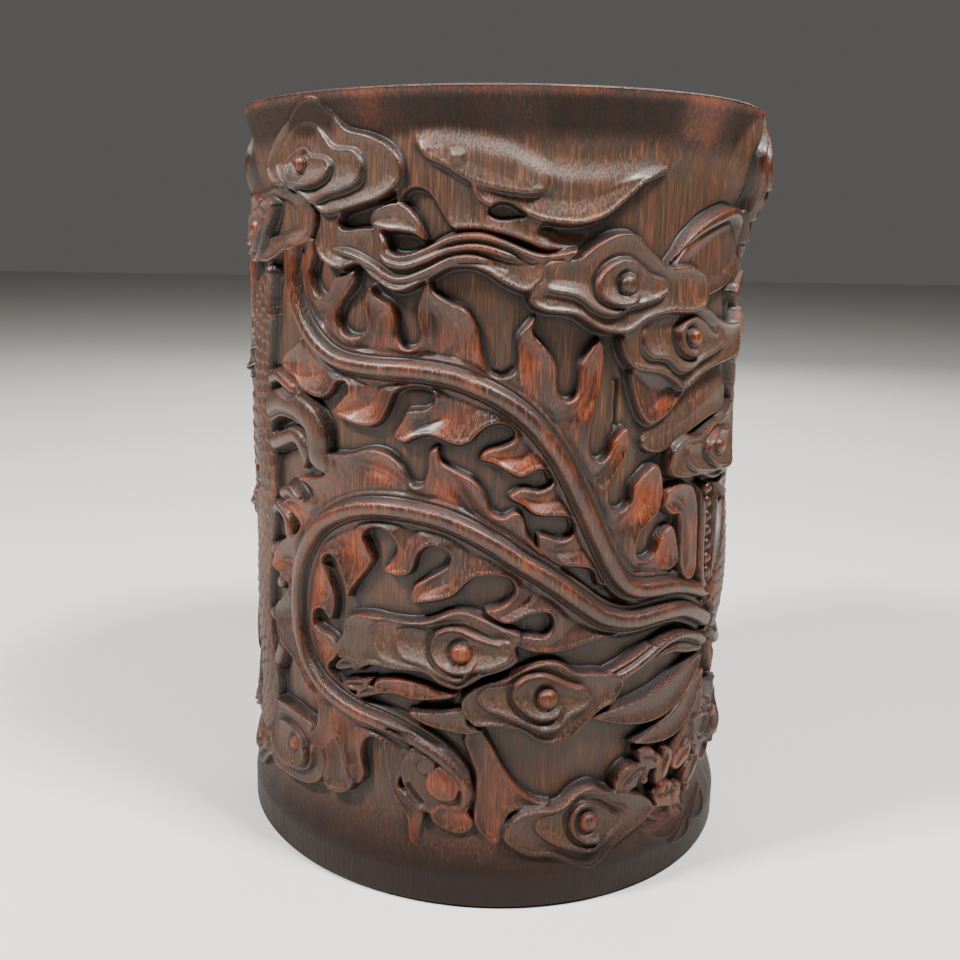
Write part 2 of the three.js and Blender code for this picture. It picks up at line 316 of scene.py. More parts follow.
    def fold(self, points, height):
        """A line where the surface stands up on one side and falls away from it, as a fold in a cloud's
        edge."""
        spread, ends = 1.6, 0.15
        line = flowing(points)
        cells, x, y = self.window(line, spread * 3)
        gap, where, along = to_line(x, y, line)
        fade = smooth(0, ends, along) * smooth(0, ends, 1 - along)
        signed = gap * where
        self.level[cells] += height * fade * np.exp(-np.abs(signed) / spread) * np.tanh(signed / 0.25)
        # Painted shade along the low side of the fold.
        self.painted_shade[cells] = np.maximum(self.painted_shade[cells],
                                        0.7 * fade * np.exp(-((signed + 0.35) / 0.4) ** 2))

    def spiral(self, points, height=0.85):
        """A cloud's last fold, an open line from its tail over the top, round the left and under the knob:
        what it holds stands above its outside, more and more from the tail on, like the turn of a snail's
        shell."""
        line = flowing(points)
        cells, x, y = self.window(line, 4)
        gap, where, along = to_line(x, y, line)
        fade = smooth(0, 0.08, along) * smooth(0, 0.1, 1 - along)
        lift = abs(height) * np.clip(0.25 + 1.8 * along, 0, 1)
        signed = gap * where * np.sign(height)
        held = smooth(-0.3, 0.2, signed) * np.exp(-np.maximum(signed, 0) / 2.1)
        bead = 0.2 * np.exp(-((signed - 0.4) / 0.4) ** 2)
        ditch = 0.45 * np.exp(-((signed + 0.7) / 0.6) ** 2)
        self.level[cells] += fade * (lift * held + bead - ditch) * (self.blank[cells] < -0.8)
        # Painted shade along the outside of the line.
        self.painted_shade[cells] = np.maximum(self.painted_shade[cells],
                                        0.85 * fade * np.exp(-((signed + 0.55) / 0.4) ** 2))
        self.warm[cells] += 0.35 * fade * np.exp(-((signed + 0.1) / 0.35) ** 2)

    def cut(self, points, width, depth):
        """A groove of bell-shaped section cut along a curve."""
        ends = 0.1
        line = flowing(points)
        cells, x, y = self.window(line, width * 3)
        gap, _, along = to_line(x, y, line)
        fade = smooth(0, ends, along) * smooth(0, ends, 1 - along)
        bell = fade * np.exp(-(gap / width) ** 2)
        self.level[cells] -= depth * bell
        # Painted shade in the groove, darker the deeper it is cut.
        self.painted_shade[cells] = np.maximum(self.painted_shade[cells], bell * min(1.0, depth))

    def swell(self, points, width, height, ends=0.15):
        """A soft raised line of bell-shaped section along a curve."""
        line = flowing(points)
        cells, x, y = self.window(line, width * 3)
        gap, _, along = to_line(x, y, line)
        fade = smooth(0, ends, along) * smooth(0, ends, 1 - along)
        self.level[cells] += height * fade * np.exp(-(gap / width) ** 2)

    def knob(self, degrees, z, radius, top, warm=0.6):
        """A round boss: the cap of a ball. A groove runs round its upper left half, and its other half melts
        into what it stands on."""
        middle = np.array([[degrees * MM_PER_DEGREE, z]])
        cells, x, y = self.window(middle, radius + 2)
        gap = np.hypot(x - middle[0, 0], y - middle[0, 1])
        turned = smooth(-0.6, 0.9, ((y - middle[0, 1]) * 0.4 - (x - middle[0, 0])) / radius)
        self.level[cells] -= 0.6 * turned * np.exp(-((gap - radius - 0.25) / 0.5) ** 2) * (gap > radius * 0.7)
        crown = top - radius * 0.85 * (1 - np.sqrt(np.clip(1 - (gap / radius) ** 2, 0, 1)))
        crown = np.where(gap < radius, crown, self.level[cells])
        # Painted shade round its edge, darkest as a crescent in the groove on its upper left.
        shade = (0.2 + 0.7 * turned) * np.exp(-((gap - radius - 0.2) / 0.35) ** 2)
        self.lay(cells, smooth(-0.25, 0.25, radius - gap), crown, warm, shade)

    def glow(self, degrees, z, wide, tall, amount):
        """A soft patch where the lacquer is thin and red: an oval that fades outwards."""
        middle = np.array([[degrees * MM_PER_DEGREE, z]])
        cells, x, y = self.window(middle, 2.2 * max(wide, tall))
        away = ((x - middle[0, 0]) / wide) ** 2 + ((y - middle[0, 1]) / tall) ** 2
        self.warm[cells] += amount * np.exp(-away)

    def scales(self, points, width, top, pitch=3.4):
        """A long scaled body along a curve: an arched back with rows of overlapping scales, each rising to a
        rounded tip, every second row set over by half a scale."""
        line = flowing(points)
        cells, x, y = self.window(line, width)
        gap, side, along = to_line(x, y, line)
        run = np.hypot(*np.diff(line, axis=0).T).sum()
        half = width / 2 * (0.3 + 0.7 * smooth(0, 0.08, along) * smooth(0, 0.12, 1 - along))
        across = gap * side / half
        place = along * run / pitch
        row = np.floor(place)
        for _ in range(2):
            offset = across * 2.6 + 0.5 * (row % 2)
            bow = offset - np.round(offset)
            within = place - row - 0.55 * (1 - np.sqrt(np.clip(1 - (1.9 * bow) ** 2, 0, 1)))
            row = np.where(within < 0, row - 1, row)
        relief = 0.4 * np.clip(within, 0, 1) ** 1.4
        arch = np.sqrt(np.clip(1 - across ** 2, 0, 1))
        level = top - 1.6 * (1 - arch) + relief * arch - 0.3
        mask = smooth(-0.35, 0.35, half - gap)
        # Painted shade along the body's edges.
        shade = np.exp(-((gap - half - 0.2) / 0.5) ** 2)
        self.lay(cells, mask, level, 0.25, shade)
        # Painted shade under the tip of each scale.
        tip = np.exp(-((np.clip(within, 0, 1.2) - 0.05) / 0.09) ** 2) * mask * arch
        self.painted_shade[cells] = np.maximum(self.painted_shade[cells], 0.75 * tip)


# ---------------------------------------------------------------- shapes that repeat

def turned_about(points, degrees, z, scale=1.0, lean=0.0, mirror=False):
    """Template points in mm, leaned by an angle, scaled, mirrored if asked and moved to a place on the
    wall."""
    p = np.asarray(points, float) * scale
    if mirror:
        p = p * [-1, 1]
    c, s = math.cos(math.radians(lean)), math.sin(math.radians(lean))
    turned = np.column_stack([c * p[:, 0] - s * p[:, 1], s * p[:, 0] + c * p[:, 1]])
    moved = turned / [MM_PER_DEGREE, 1] + [degrees, z]
    return moved[::-1] if mirror else moved


# One cloud, drawn about its knob, in mm: two plates, one on the other, and the line of its last fold.
CLOUD_OUTER = [[-17, -1.5], [-15, 2], [-12, 4], [-8, 5.2], [-4, 7.8], [0, 8.6], [4, 7], [8, 5], [13, 5.2],
    [17, 3], [15.5, 0], [12, -2.2], [9, -4.8], [5, -7.8], [0, -8.6], [-4, -7.2], [-8, -5], [-13, -5]]
CLOUD_MIDDLE = [[-12.5, 0.5], [-10.5, 3.2], [-7, 4.2], [-3, 6], [1, 5.8], [5, 3.6], [9.5, 2.6], [10.5, 0.2],
    [7, -2.2], [4, -4.6], [0, -5.8], [-3.4, -4.6], [-7, -3], [-11, -2.4]]
CLOUD_SPIRAL = [[10.4, 0.6], [7.4, 1.9], [4.4, 3.8], [0.6, 4.9], [-3, 4.3], [-5.2, 2], [-5.4, -0.8],
    [-3.4, -3.1], [-0.4, -4], [2.6, -3.3], [4.2, -1.2]]


def folds(relief, outlines, top=-1.3, soft=0.0):
    """The folds of one cloud, from the outermost in, like ribbon laid on ribbon: each stands a little above
    the last and leans more, so that its lower edge stands proud and its upper edge sinks into its
    neighbour."""
    for index, outline in enumerate(outlines):
        last = index and index == len(outlines) - 1
        relief.plate(outline, top + 0.1 * index, dish=0.45, rim=0.4, tilt=0.3 + 0.5 * index, warm=0.12,
                     soft=soft if last else 0.0)


def cloud(relief, degrees, z, scale=1.0, lean=0.0, mirror=False, top=-1.2):
    """A cloud from the template: its two plates, its last fold and its knob."""
    place = dict(degrees=degrees, z=z, scale=scale, lean=lean, mirror=mirror)
    folds(relief, [turned_about(shape, **place) for shape in (CLOUD_OUTER, CLOUD_MIDDLE)], top,
          soft=1.6 * scale)
    relief.spiral(turned_about(CLOUD_SPIRAL, **place), (-1.1 if mirror else 1.1) * scale)
    relief.knob(degrees, z, 2.2 * scale, top + 0.9)


def leaf_outline(root, tip, width, bend=0.0):
    """A leaf from root to tip, both [degrees, mm]: two sides that swell as a sine to the width given, bent
    by a share of the length to one side."""
    a, b = (np.array(p, float) * [MM_PER_DEGREE, 1] for p in (root, tip))
    run = b - a
    normal = np.array([-run[1], run[0]])
    t = np.linspace(0, 1, 15)
    swell = width / 2 * np.sin(np.pi * t ** 0.75) ** 0.8
    spine = a + t[:, None] * run + (bend * np.sin(np.pi * t))[:, None] * normal
    unit = normal / np.hypot(*normal)
    left, right = spine + swell[:, None] * unit, spine - swell[:, None] * unit
    return np.vstack([right[:-1], left[:0:-1]]), spine


def feather(relief, root, tip, width, top, bend=0.0):
    """A wing feather: a leaf plate with a shaft and slanting barbs cut on both sides of it."""
    outline, spine = leaf_outline(root, tip, width, bend)
    relief.plate(None, top, dish=0.15, rim=0.15, warm=0.3, closed_line=outline)
    points = spine / [MM_PER_DEGREE, 1]
    relief.swell(points[:-1], 0.45, 0.45, ends=0.1)
    cells, x, y = relief.window(outline, 0)
    inner, _, _ = to_line(x, y, outline, closed=True)
    gap, _, along = to_line(x, y, spine)
    length = np.hypot(*(spine[-1] - spine[0]))
    barb = np.cos(2 * np.pi * (along * length + gap * 1.1) / 1.9)
    relief.level[cells] -= 0.12 * (1 + barb) * smooth(0.3, 1.0, inner) * smooth(0.5, 1.0, gap)


def plume_vane(points, reach, pitch):
    """The lobed outline of a plume: on both sides of the rib the edge swings out and back, as the absolute
    sine of the length along it over the pitch, and each swing is swept towards the plume's end."""
    sweep, low = 0.7, 0.3
    line = flowing(points, steps=10)
    step = np.hypot(*np.diff(line, axis=0).T)
    s = np.concatenate([[0], np.cumsum(step)])
    even = np.linspace(0, s[-1], int(s[-1] / 0.9))
    line = np.column_stack([np.interp(even, s, line[:, i]) for i in (0, 1)])
    along = np.gradient(line, axis=0)
    along /= np.hypot(*along.T)[:, None]
    normal = np.column_stack([-along[:, 1], along[:, 0]])
    envelope = reach * smooth(0, 0.12, even / s[-1]) * smooth(0, 0.1, 1 - even / s[-1])
    sides = []
    for sign, shift in ((1, 0.0), (-1, 0.5)):
        swing = np.abs(np.sin(np.pi * (even / pitch + shift))) ** 0.75
        out = envelope * (low + (1 - low) * swing)
        sides.append(line + sign * normal * out[:, None] + along * (sweep * out * swing)[:, None])
    return np.vstack([sides[0], sides[1][::-1]])


# ---------------------------------------------------------------- the front of the carving

# Middle lines of the two long ribs that curl over the front, from the bird's body to the plumes' ends.
UPPER_RIB = [[62, 60], [52, 62], [45, 64.3], [38, 65], [33, 65.8], [29, 68.5], [25.5, 73.5], [20, 83.5],
    [15, 92.3], [10, 98.5], [5, 102.8], [-1, 106], [-8, 108.3], [-16, 109.2], [-26, 109.3], [-34, 110.3],
    [-40, 113.4], [-44.5, 118], [-47.2, 123.5], [-48, 129.5], [-46, 134]]
LOWER_RIB = [[64, 52], [55, 56.3], [48, 58.8], [40, 59.3], [33, 59.2], [26, 60.8], [20, 64.5], [14, 68.8],
    [7, 73], [0, 77.2], [-8, 80.6], [-16, 82], [-24, 82], [-31, 80.4], [-38, 76.8], [-43, 71.5],
    [-46.2, 65], [-47, 57], [-45.8, 50.5], [-42.5, 45], [-37, 41], [-29, 38.4], [-21, 37], [-15, 35],
    [-9, 31.8], [-5, 28], [-3, 24.5]]

UPPER_VANE_TOP = [
    [-47, 134], [-40, 133], [-41.5, 127], [-40.2, 123.4], [-38.2, 122.2], [-36.2, 123.2], [-34.6, 125.8],
    [-31.8, 126.4], [-29, 127.4], [-28.8, 125.4], [-30.4, 123.4], [-32.6, 121.4], [-33.6, 118.8],
    [-32.4, 116], [-29.8, 114.9], [-27.2, 115.7], [-26.2, 118.2], [-27.2, 121.6], [-25.4, 124.6],
    [-23.8, 122.8], [-20.8, 121.4], [-19.5, 119.4], [-19.4, 115.6], [-17.8, 113.4], [-15.4, 113.8],
    [-14.3, 116.2], [-15.2, 120.4], [-12.9, 126.4], [-11.6, 124], [-8.6, 122.2], [-5.4, 120.9], [-3, 117.4],
    [-2, 112.8], [-0.6, 109.6], [2, 108.5], [4.6, 109.6], [5.1, 112.6], [5, 116], [8.3, 119.7], [8, 116.8],
    [10.4, 114.2], [12.8, 111], [13.2, 107], [14.4, 104.5], [16.6, 104.4], [17.9, 106.8], [18, 111],
    [21.6, 115.6], [22.8, 112], [22.2, 106], [20.6, 99], [20.6, 94.6], [22.6, 92.4], [24.8, 93.4],
    [26, 96.2], [28.9, 98.6], [29.6, 94], [27.4, 90.4], [25.4, 86.6], [26, 83.2], [28.6, 82.3],
    [30.8, 83.8], [31.6, 87.2], [37.3, 90.8], [39.4, 86.4], [38.8, 81.4], [36, 79], [33.4, 76.4], [33, 73],
    [35.4, 71.5], [38.2, 72.2], [39.8, 75.4], [43.3, 77.5], [45.4, 73.4], [46, 69.6], [43.4, 66.8],
    [52, 63], [50, 60], [38, 65], [29, 68.5], [20, 83.5], [10, 98.5], [-1, 106], [-16, 109.2], [-34, 110.3],
    [-44.5, 118], [-48, 129.5]]

UPPER_VANE_LOW = [
    [-53, 107.6], [-49.4, 105.6], [-45, 103.2], [-39.4, 102], [-36, 103.2], [-34.2, 105.5], [-31.8, 105.8],
    [-30.9, 104.2], [-32.6, 102.7], [-35, 100], [-32.8, 98.6], [-26.6, 97.6], [-23.2, 98.8], [-21.2, 101.6],
    [-19.6, 104.8], [-16.4, 106], [-12.6, 105.8], [-11.3, 104], [-13, 102.2], [-16.8, 101.6], [-18.2, 99.4],
    [-20, 96.6], [-17.8, 95.2], [-14.6, 96.5], [-11.4, 96.8], [-7, 95.4], [-4, 96], [-1.6, 98.4],
    [1.6, 99.7], [4.4, 98.8], [4.8, 96.8], [2.2, 95.5], [-0.8, 94.6], [-1.9, 92.9], [0.8, 92.1],
    [3.6, 90.6], [6.5, 89.5], [9.6, 90.9], [12.6, 90.7], [13, 88.4], [10.4, 87], [6.8, 87.5], [4.1, 85.7],
    [7, 84.1], [10, 82.1], [15.4, 81.7], [18.2, 80.6], [17.8, 78], [15, 77.2], [10.6, 78.4], [11, 74.8],
    [14.4, 72], [19.4, 71.4], [22.6, 70.4], [24, 67.6], [28, 66.8], [29, 68.5], [20, 83.5], [10, 98.5],
    [-1, 106], [-16, 109.2], [-34, 110.3], [-43, 114.6], [-47, 112.4], [-51, 110.4]]

LOWER_VANE_TOP = [
    [18, 68], [9, 77.4], [7.4, 81.4], [5.6, 83], [3, 81.9], [0.6, 83], [-0.6, 86.2], [-3.4, 89.2],
    [-7.4, 90.9], [-9.8, 92.4], [-10.4, 94.8], [-12.3, 93.8], [-12.6, 90.6], [-13.6, 87.6], [-16, 87.4],
    [-18, 90.4], [-21, 92.9], [-25.6, 93.5], [-31, 91.9], [-36, 91.2], [-35.6, 88.8], [-38.6, 86.4],
    [-46.8, 84.8], [-43.4, 83.3], [-42, 81.8], [-44.6, 80.3], [-50, 80], [-55, 77.6], [-49.6, 76.2],
    [-46.6, 74.2], [-49, 72], [-55, 69.4], [-60.4, 63], [-55, 61.6], [-51.4, 60.4], [-53.4, 57.8],
    [-58.6, 53.4], [-57, 47], [-53, 45.2], [-49, 43.6], [-44, 39], [-40.6, 36.4], [-41, 32], [-43.6, 27.4],
    [-38, 27], [-34.4, 31.4], [-32, 26], [-28.6, 22], [-26.4, 24.6], [-27.2, 29.2], [-26.4, 32.4],
    [-24, 33.4], [-21.9, 31.8], [-21.4, 27.4], [-19.4, 21.6], [-16.4, 17.6], [-15.6, 13.6], [-13.6, 11.6],
    [-12.9, 15], [-12.2, 19.4], [-14, 22.2], [-18, 24.4], [-15, 30], [-9, 31.8], [-21, 37], [-37, 41],
    [-45.8, 50.5], [-46.2, 65], [-38, 76.8], [-24, 82], [-8, 80.6], [7, 73]]

LOWER_VANE_IN = [
    [-35.6, 56.6], [-34.4, 61], [-36.6, 65.8], [-38.5, 68.4], [-36.6, 70.3], [-34.2, 69.6], [-32.6, 66.8],
    [-30.9, 62.4], [-29.8, 64.4], [-26.4, 68.4], [-24.5, 71.4], [-25.8, 74], [-26.8, 76.2], [-24.6, 77.7],
    [-21, 77.3], [-19.2, 74.6], [-20, 71.8], [-22, 69.6], [-18.6, 68.6], [-15.6, 69.8], [-14.2, 73.6],
    [-11.4, 75.4], [-8, 74.4], [-8, 71.8], [-12, 69.2], [-15.4, 66.8], [-15.6, 63.6], [-11, 64.2],
    [-6.6, 65.8], [-3, 69.3], [1, 70.1], [4.8, 69.5], [5.9, 67], [3.8, 64.2], [-0.2, 63.2], [2.4, 61],
    [5.4, 60.5], [9, 62.2], [13, 62.4], [14.2, 60], [12.4, 57.8], [8.2, 58.2], [5.4, 56.6], [10, 54.6],
    [16, 54.4], [24, 56], [33, 56.2], [42, 57.1], [52, 54.6], [62, 50], [64, 54], [48, 58.8], [33, 59.2],
    [20, 64.5], [7, 73], [-8, 80.6], [-24, 82], [-38, 76.8], [-46.2, 65], [-45.8, 50.5], [-37, 41],
    [-30, 41], [-34, 43.6], [-36.4, 46.2], [-34.2, 48.6], [-33.2, 51], [-36, 53.2], [-40.4, 54.2],
    [-41.2, 56.8], [-38.6, 58.2]]


# Flutes that run from the ribs out into the lobes.
PLUME_FLUTES = (
    [[-41, 115], [-37, 119.4], [-30, 126]], [[-31, 111], [-24.6, 115.4], [-23.6, 122]],
    [[-17, 110], [-11.6, 114], [-11.8, 123]], [[-12, 110], [-6.6, 114], [-5, 119.6]],
    [[-2, 107], [6, 110], [7.6, 117.4]], [[11, 99.6], [18.6, 103.4], [20.8, 113]],
    [[20, 86], [25.4, 90.4], [28.2, 97]], [[25, 77], [33, 82.8], [36.6, 89.4]],
    [[31, 69], [38.6, 70.6], [42.8, 76.2]], [[-37, 109.4], [-44, 105.8], [-51, 106.8]],
    [[-23, 107.6], [-27, 101.6], [-33, 99.8]], [[-8, 106], [-11, 100.4], [-18, 96.8]],
    [[8, 98], [5, 93.8], [-0.4, 92.8]], [[16, 88.6], [12, 85.4], [6, 85.2]],
    [[20.4, 81], [17, 75.8], [12, 75.4]], [[1, 79], [-5, 85], [-10, 92.6]], [[-13, 84], [-22, 88.8],
    [-34, 90.6]],
    [[-39, 80], [-43, 83], [-46.4, 84.2]], [[-44, 74], [-49, 77.4], [-54.4, 77.4]],
    [[-48, 63], [-53, 64.6], [-59.4, 63.6]], [[-48, 53], [-53.4, 52.6], [-57.6, 50]],
    [[-41.4, 42], [-42, 36], [-43, 28.6]], [[-31, 37], [-32, 31], [-29, 23.6]],
    [[-30, 79], [-30.6, 71], [-30.8, 63.6]], [[-15, 80], [-18.8, 73.6], [-21.6, 70.2]],
    [[-5, 77], [-8.4, 70.4], [-15, 64.6]], [[8, 70.4], [8, 65.6], [1.4, 62.6]], [[-43, 71], [-37.4, 64],
    [-35.4, 58]])


def carve_long_plumes(relief):
    """The two long tail plumes that curl over the front, with their flame-shaped lobes."""
    vane = dict(dish=1.0, rim=0.3, reach=5, warm=0.29)
    relief.plate([[29.5, 110], [31, 103], [34.3, 98.8], [38.6, 99.4], [42, 102], [46, 107], [38, 110]],
        -2.1, **vane)
    relief.plate(UPPER_VANE_TOP, -1.9, **vane)
    relief.plate(UPPER_VANE_LOW, -2.0, **vane)
    relief.plate(LOWER_VANE_TOP, -2.0, **vane)
    relief.plate(LOWER_VANE_IN, -1.9, **vane)
    for flute in PLUME_FLUTES:
        relief.swell(flute, 1.5, -0.75, ends=0.3)
    for rib in (UPPER_RIB, LOWER_RIB):
        relief.rib(rib, 6.6, -1.9, groove=0.3, warm=0.26, thin=0.12)
        relief.rib(rib, 3.5, -0.5, groove=0.7, warm=0.3, thin=0.12)
    for place in ((-47, 104.6, 4, 2), (-29, 100.6, 5, 2.2), (-17.5, 98, 2, 3.4), (-9, 100, 3, 3),
                  (2, 93.4, 3, 1.5), (7, 92.8, 3, 2), (10, 84.4, 4, 1.6), (-31, 72, 1.8, 5),
                  (-40, 63, 1.8, 4), (-20.4, 70.6, 2, 2), (-12.6, 66, 3, 1.6), (-37, 50, 2.6, 2.6),
                  (-9, 86.4, 3, 3), (-24, 89, 3.6, 2.6), (7, 110, 1.6, 6), (18.6, 103, 2.4, 3),
                  (27, 95, 2, 3), (35, 85.4, 3.4, 3), (41, 72.6, 2.6, 3), (-45, 84, 3, 1.5),
                  (-48, 78, 4, 1.6), (-58, 64.6, 3, 2.4), (-15, 15, 1.6, 3.6), (33, 81, 4, 2),
                  (39, 102, 2, 2)):
        relief.glow(*place, 0.5)


def carve_plume_eye(relief):
    """The eye at the end of the lower plume, a red disc held in a curl, with flames round it."""
    flame = dict(dish=0.5, rim=0.25, reach=3, warm=0.5)
    relief.plate([[-17.6, 25.6], [-17, 31], [-13, 34], [-8, 33.6], [-3.6, 30], [-1.4, 25.4], [-2.4, 20.8],
        [-6, 18], [-10, 18.6], [-12.6, 19.6], [-15.4, 22]], -1.9, dish=0.4, rim=0.1, warm=0.1)
    relief.plate([[-8, 21.5], [-3.4, 20.4], [-1.4, 17.4], [-4, 15.2], [-8.6, 16.2], [-11, 18.4],
        [-10, 20.6]], -2.1, **flame)
    relief.plate([[-4, 36], [-2.6, 38.8], [0, 38.2], [2.4, 34.6], [4.6, 30.4], [8, 26], [12, 22.9],
        [15.4, 22], [11, 20.8], [6.4, 20], [5, 15], [3, 13.4], [0.6, 15], [-1.4, 18], [-1.6, 23],
        [-1.2, 28], [-3, 33]], -2.2, dish=0.5, rim=0.25, reach=2.5, warm=0.3)
    relief.glow(6, 27, 3, 4, 0.3)
    relief.glow(3.4, 16.4, 1.6, 2.6, 0.4)
    relief.rib([[-21, 37], [-15, 35], [-9, 31.8], [-5, 28], [-3, 24.5], [-4.4, 21.2], [-8, 20.4]], 2.6,
        -0.9, ends=(0.3, 0.25))
    relief.plate([[-12, 26.6], [-9.6, 29.4], [-6.4, 28.8], [-4.6, 26], [-5.4, 23], [-8.4, 22.2],
        [-11.4, 23.8]], -1.8, dish=-0.5, rim=0.0, warm=0.75)
    relief.plate([[-14, 29.4], [-12.2, 31.6], [-9.8, 30.4], [-10.8, 28.2], [-13, 27.6]], -1.7, dish=-0.3,
                 rim=0.0, warm=0.15)
    relief.cut([[-16.4, 25.2], [-14.8, 23], [-12.4, 20.6]], 0.6, 0.8)
    relief.swell([[-18, 24.6], [-15.6, 21.4], [-12.6, 18.8], [-12, 14]], 0.5, 0.5)
    relief.glow(-4, 19.4, 2.6, 1.8, 0.6)


def carve_upper_left_cloud(relief):
    """The large cloud under the rim, four ribbons round a knob, its curl below it and the flowing ribbon."""
    relief.plate([[-66, 141], [-60, 142.6], [-52, 143.4], [-46.3, 142.2], [-43.3, 142.4], [-40.9, 140.6],
        [-39.2, 137.1], [-40.2, 134], [-43.3, 131.9], [-49.2, 130.8], [-53, 129.2], [-60, 128], [-66, 130]],
        -1.7, tilt=0.5)
    relief.plate([[-72, 139], [-64, 140.2], [-55.9, 140.7], [-51, 140.3], [-47.6, 138.8], [-46.3, 136.6],
        [-48, 134.6], [-53, 133.7], [-64, 133], [-72, 134]], -3.5, dish=0.0, rim=0.0, warm=0.12)
    ribbon = [[-40, 141], [-33, 141], [-31, 138.6], [-32.7, 136.6], [-31.4, 135], [-26.3, 135.4],
        [-22.8, 134.8], [-21.9, 132.1], [-18.8, 130.4], [-13.2, 132], [-8, 134.3], [-2, 134.6],
        [4.3, 132.3], [10.2, 131], [16.4, 131.8], [11, 127], [6.7, 124.1], [2.4, 125.2], [-2.8, 128],
        [-8, 128.2], [-12.9, 125.9], [-18.8, 123.6], [-24, 125.7], [-28.1, 128.4], [-32.5, 127.3],
        [-37.5, 129], [-39.4, 132.6], [-38.2, 137]]
    relief.plate(ribbon, -1.5, dish=0.35, tilt=0.5)
    for line, width in (([[-25, 135], [-22.4, 133.4], [-21.6, 130.8], [-19.2, 129.8], [-15.9, 130.1],
            [-12.5, 131.4], [-8.5, 133.2], [-3, 133.8], [2, 132.6], [8, 130.4], [14, 130]], 1.5),
            ([[-23.6, 131.6], [-21.6, 129.2], [-17.7, 128.4], [-13.4, 129.6], [-8.6, 131.4], [-3, 132],
            [2.6, 130.6], [8, 128.8]], 1.5),
            ([[-36, 131], [-30, 130.4], [-25, 128.6], [-21, 126.4], [-17.5, 126], [-13, 127.6], [-8, 129.8],
            [-3, 130], [3, 128]], 1.3)):
        relief.rib(line, width, -0.75, groove=0.35, warm=0.25, ends=(0.12, 0.2))
    folds(relief, (
        [[-58, 147], [-53.6, 152], [-47, 156], [-42, 158.6], [-37.4, 158.9], [-34, 156.3], [-30.6, 153.2],
        [-25, 151.8], [-20.7, 149.8], [-18.2, 146.8], [-18.6, 143.4], [-22.2, 140.5], [-27.8, 138.9],
        [-32.4, 138], [-36.8, 137.8], [-41, 140.6], [-47, 142.6], [-54, 143.4]],
        [[-53, 147.6], [-49.6, 152.2], [-44.6, 154.7], [-39.6, 154.6], [-36.4, 152.2], [-33.6, 150],
        [-28.4, 149.3], [-26.3, 146.4], [-27.1, 143.4], [-30.6, 141.8], [-34.9, 140.9], [-39, 139.6],
        [-44, 141.8], [-50, 143.6]],
        [[-49.4, 147], [-47.2, 149.8], [-43.4, 150.6], [-40, 148.8], [-35.8, 148.2], [-33.9, 146.4],
        [-35.5, 143.9], [-39.6, 142.7], [-44.2, 142.9], [-48, 144.4]]), -1.2)
    relief.fold([[-47.6, 147.6], [-46, 144.9], [-43.2, 144], [-41, 145.2]], -0.5)
    relief.knob(-43.2, 146.9, 1.9, 0.0)


def carve_big_leaf(relief):
    """The large smooth leaf under the rim, its hook on the left and its tongue under it."""
    relief.plate([[-22, 150], [-20.4, 144], [-19.4, 139.8], [-16.4, 135.6], [-12, 133.6], [-8, 134.8],
        [-2, 134.8], [4.3, 133.4], [10, 131.6], [16.2, 131.8], [12.1, 132.9], [10.6, 134.3], [9, 136],
        [16, 138], [10, 142], [4, 146], [-4, 149], [-12, 151.6]], -2.0, dish=0.3, rim=0.2, warm=0.14,
        soft=4)
    relief.plate([[-18.4, 139.8], [-17.4, 141.8], [-15.2, 142.3], [-12.8, 141.2], [-11, 138.6], [-9, 135.8],
        [-7.4, 134.4], [-12, 133], [-14.6, 133.6], [-16.4, 137]], -3.75, dish=0.0, rim=0.0, warm=0.1)
    relief.plate([[-25.4, 137.2], [-23.6, 139], [-20, 139.9], [-17.6, 139.3], [-15.4, 137.3],
        [-14.2, 135.4], [-13.5, 132.9], [-15.9, 134], [-18.8, 134.4], [-22, 134.6], [-24.8, 135.4]], -1.8,
        dish=0.4, warm=0.14)
    relief.plate([[-5, 147], [1, 149], [7.2, 146.8], [13, 145.4], [20.3, 145.4], [28.3, 146.6], [33, 147.1],
        [36.8, 146.5], [33.4, 145.1], [29.6, 143.4], [25.7, 140.4], [21, 137.3], [15.4, 136], [9.1, 136.6],
        [5.6, 137.6], [0, 138.6], [-4, 141]], -1.35, dish=0.9, rim=0.3, reach=5, warm=0.16, soft=4.5)
    relief.plate([[-15, 150.4], [-9, 151.2], [-3, 149.8], [3, 146.8], [7.6, 144.2], [9.2, 142.2],
        [6.4, 141.2], [0.5, 141.9], [-5.4, 143.5], [-9.9, 146], [-13.6, 147.6]], -0.95, dish=0.4, rim=0.15,
        reach=4, warm=0.12, soft=4)
    relief.plate([[-1.3, 138.5], [0.3, 139.7], [2.4, 139.7], [4.6, 138.6], [5.8, 137.5], [2, 137],
        [-0.4, 137.3]], -3.5, dish=0.0, rim=0.0, warm=0.3)
    relief.swell([[-9, 147.6], [-7.3, 147.7], [-5.6, 147.2]], 1.0, 0.6, ends=0.3)


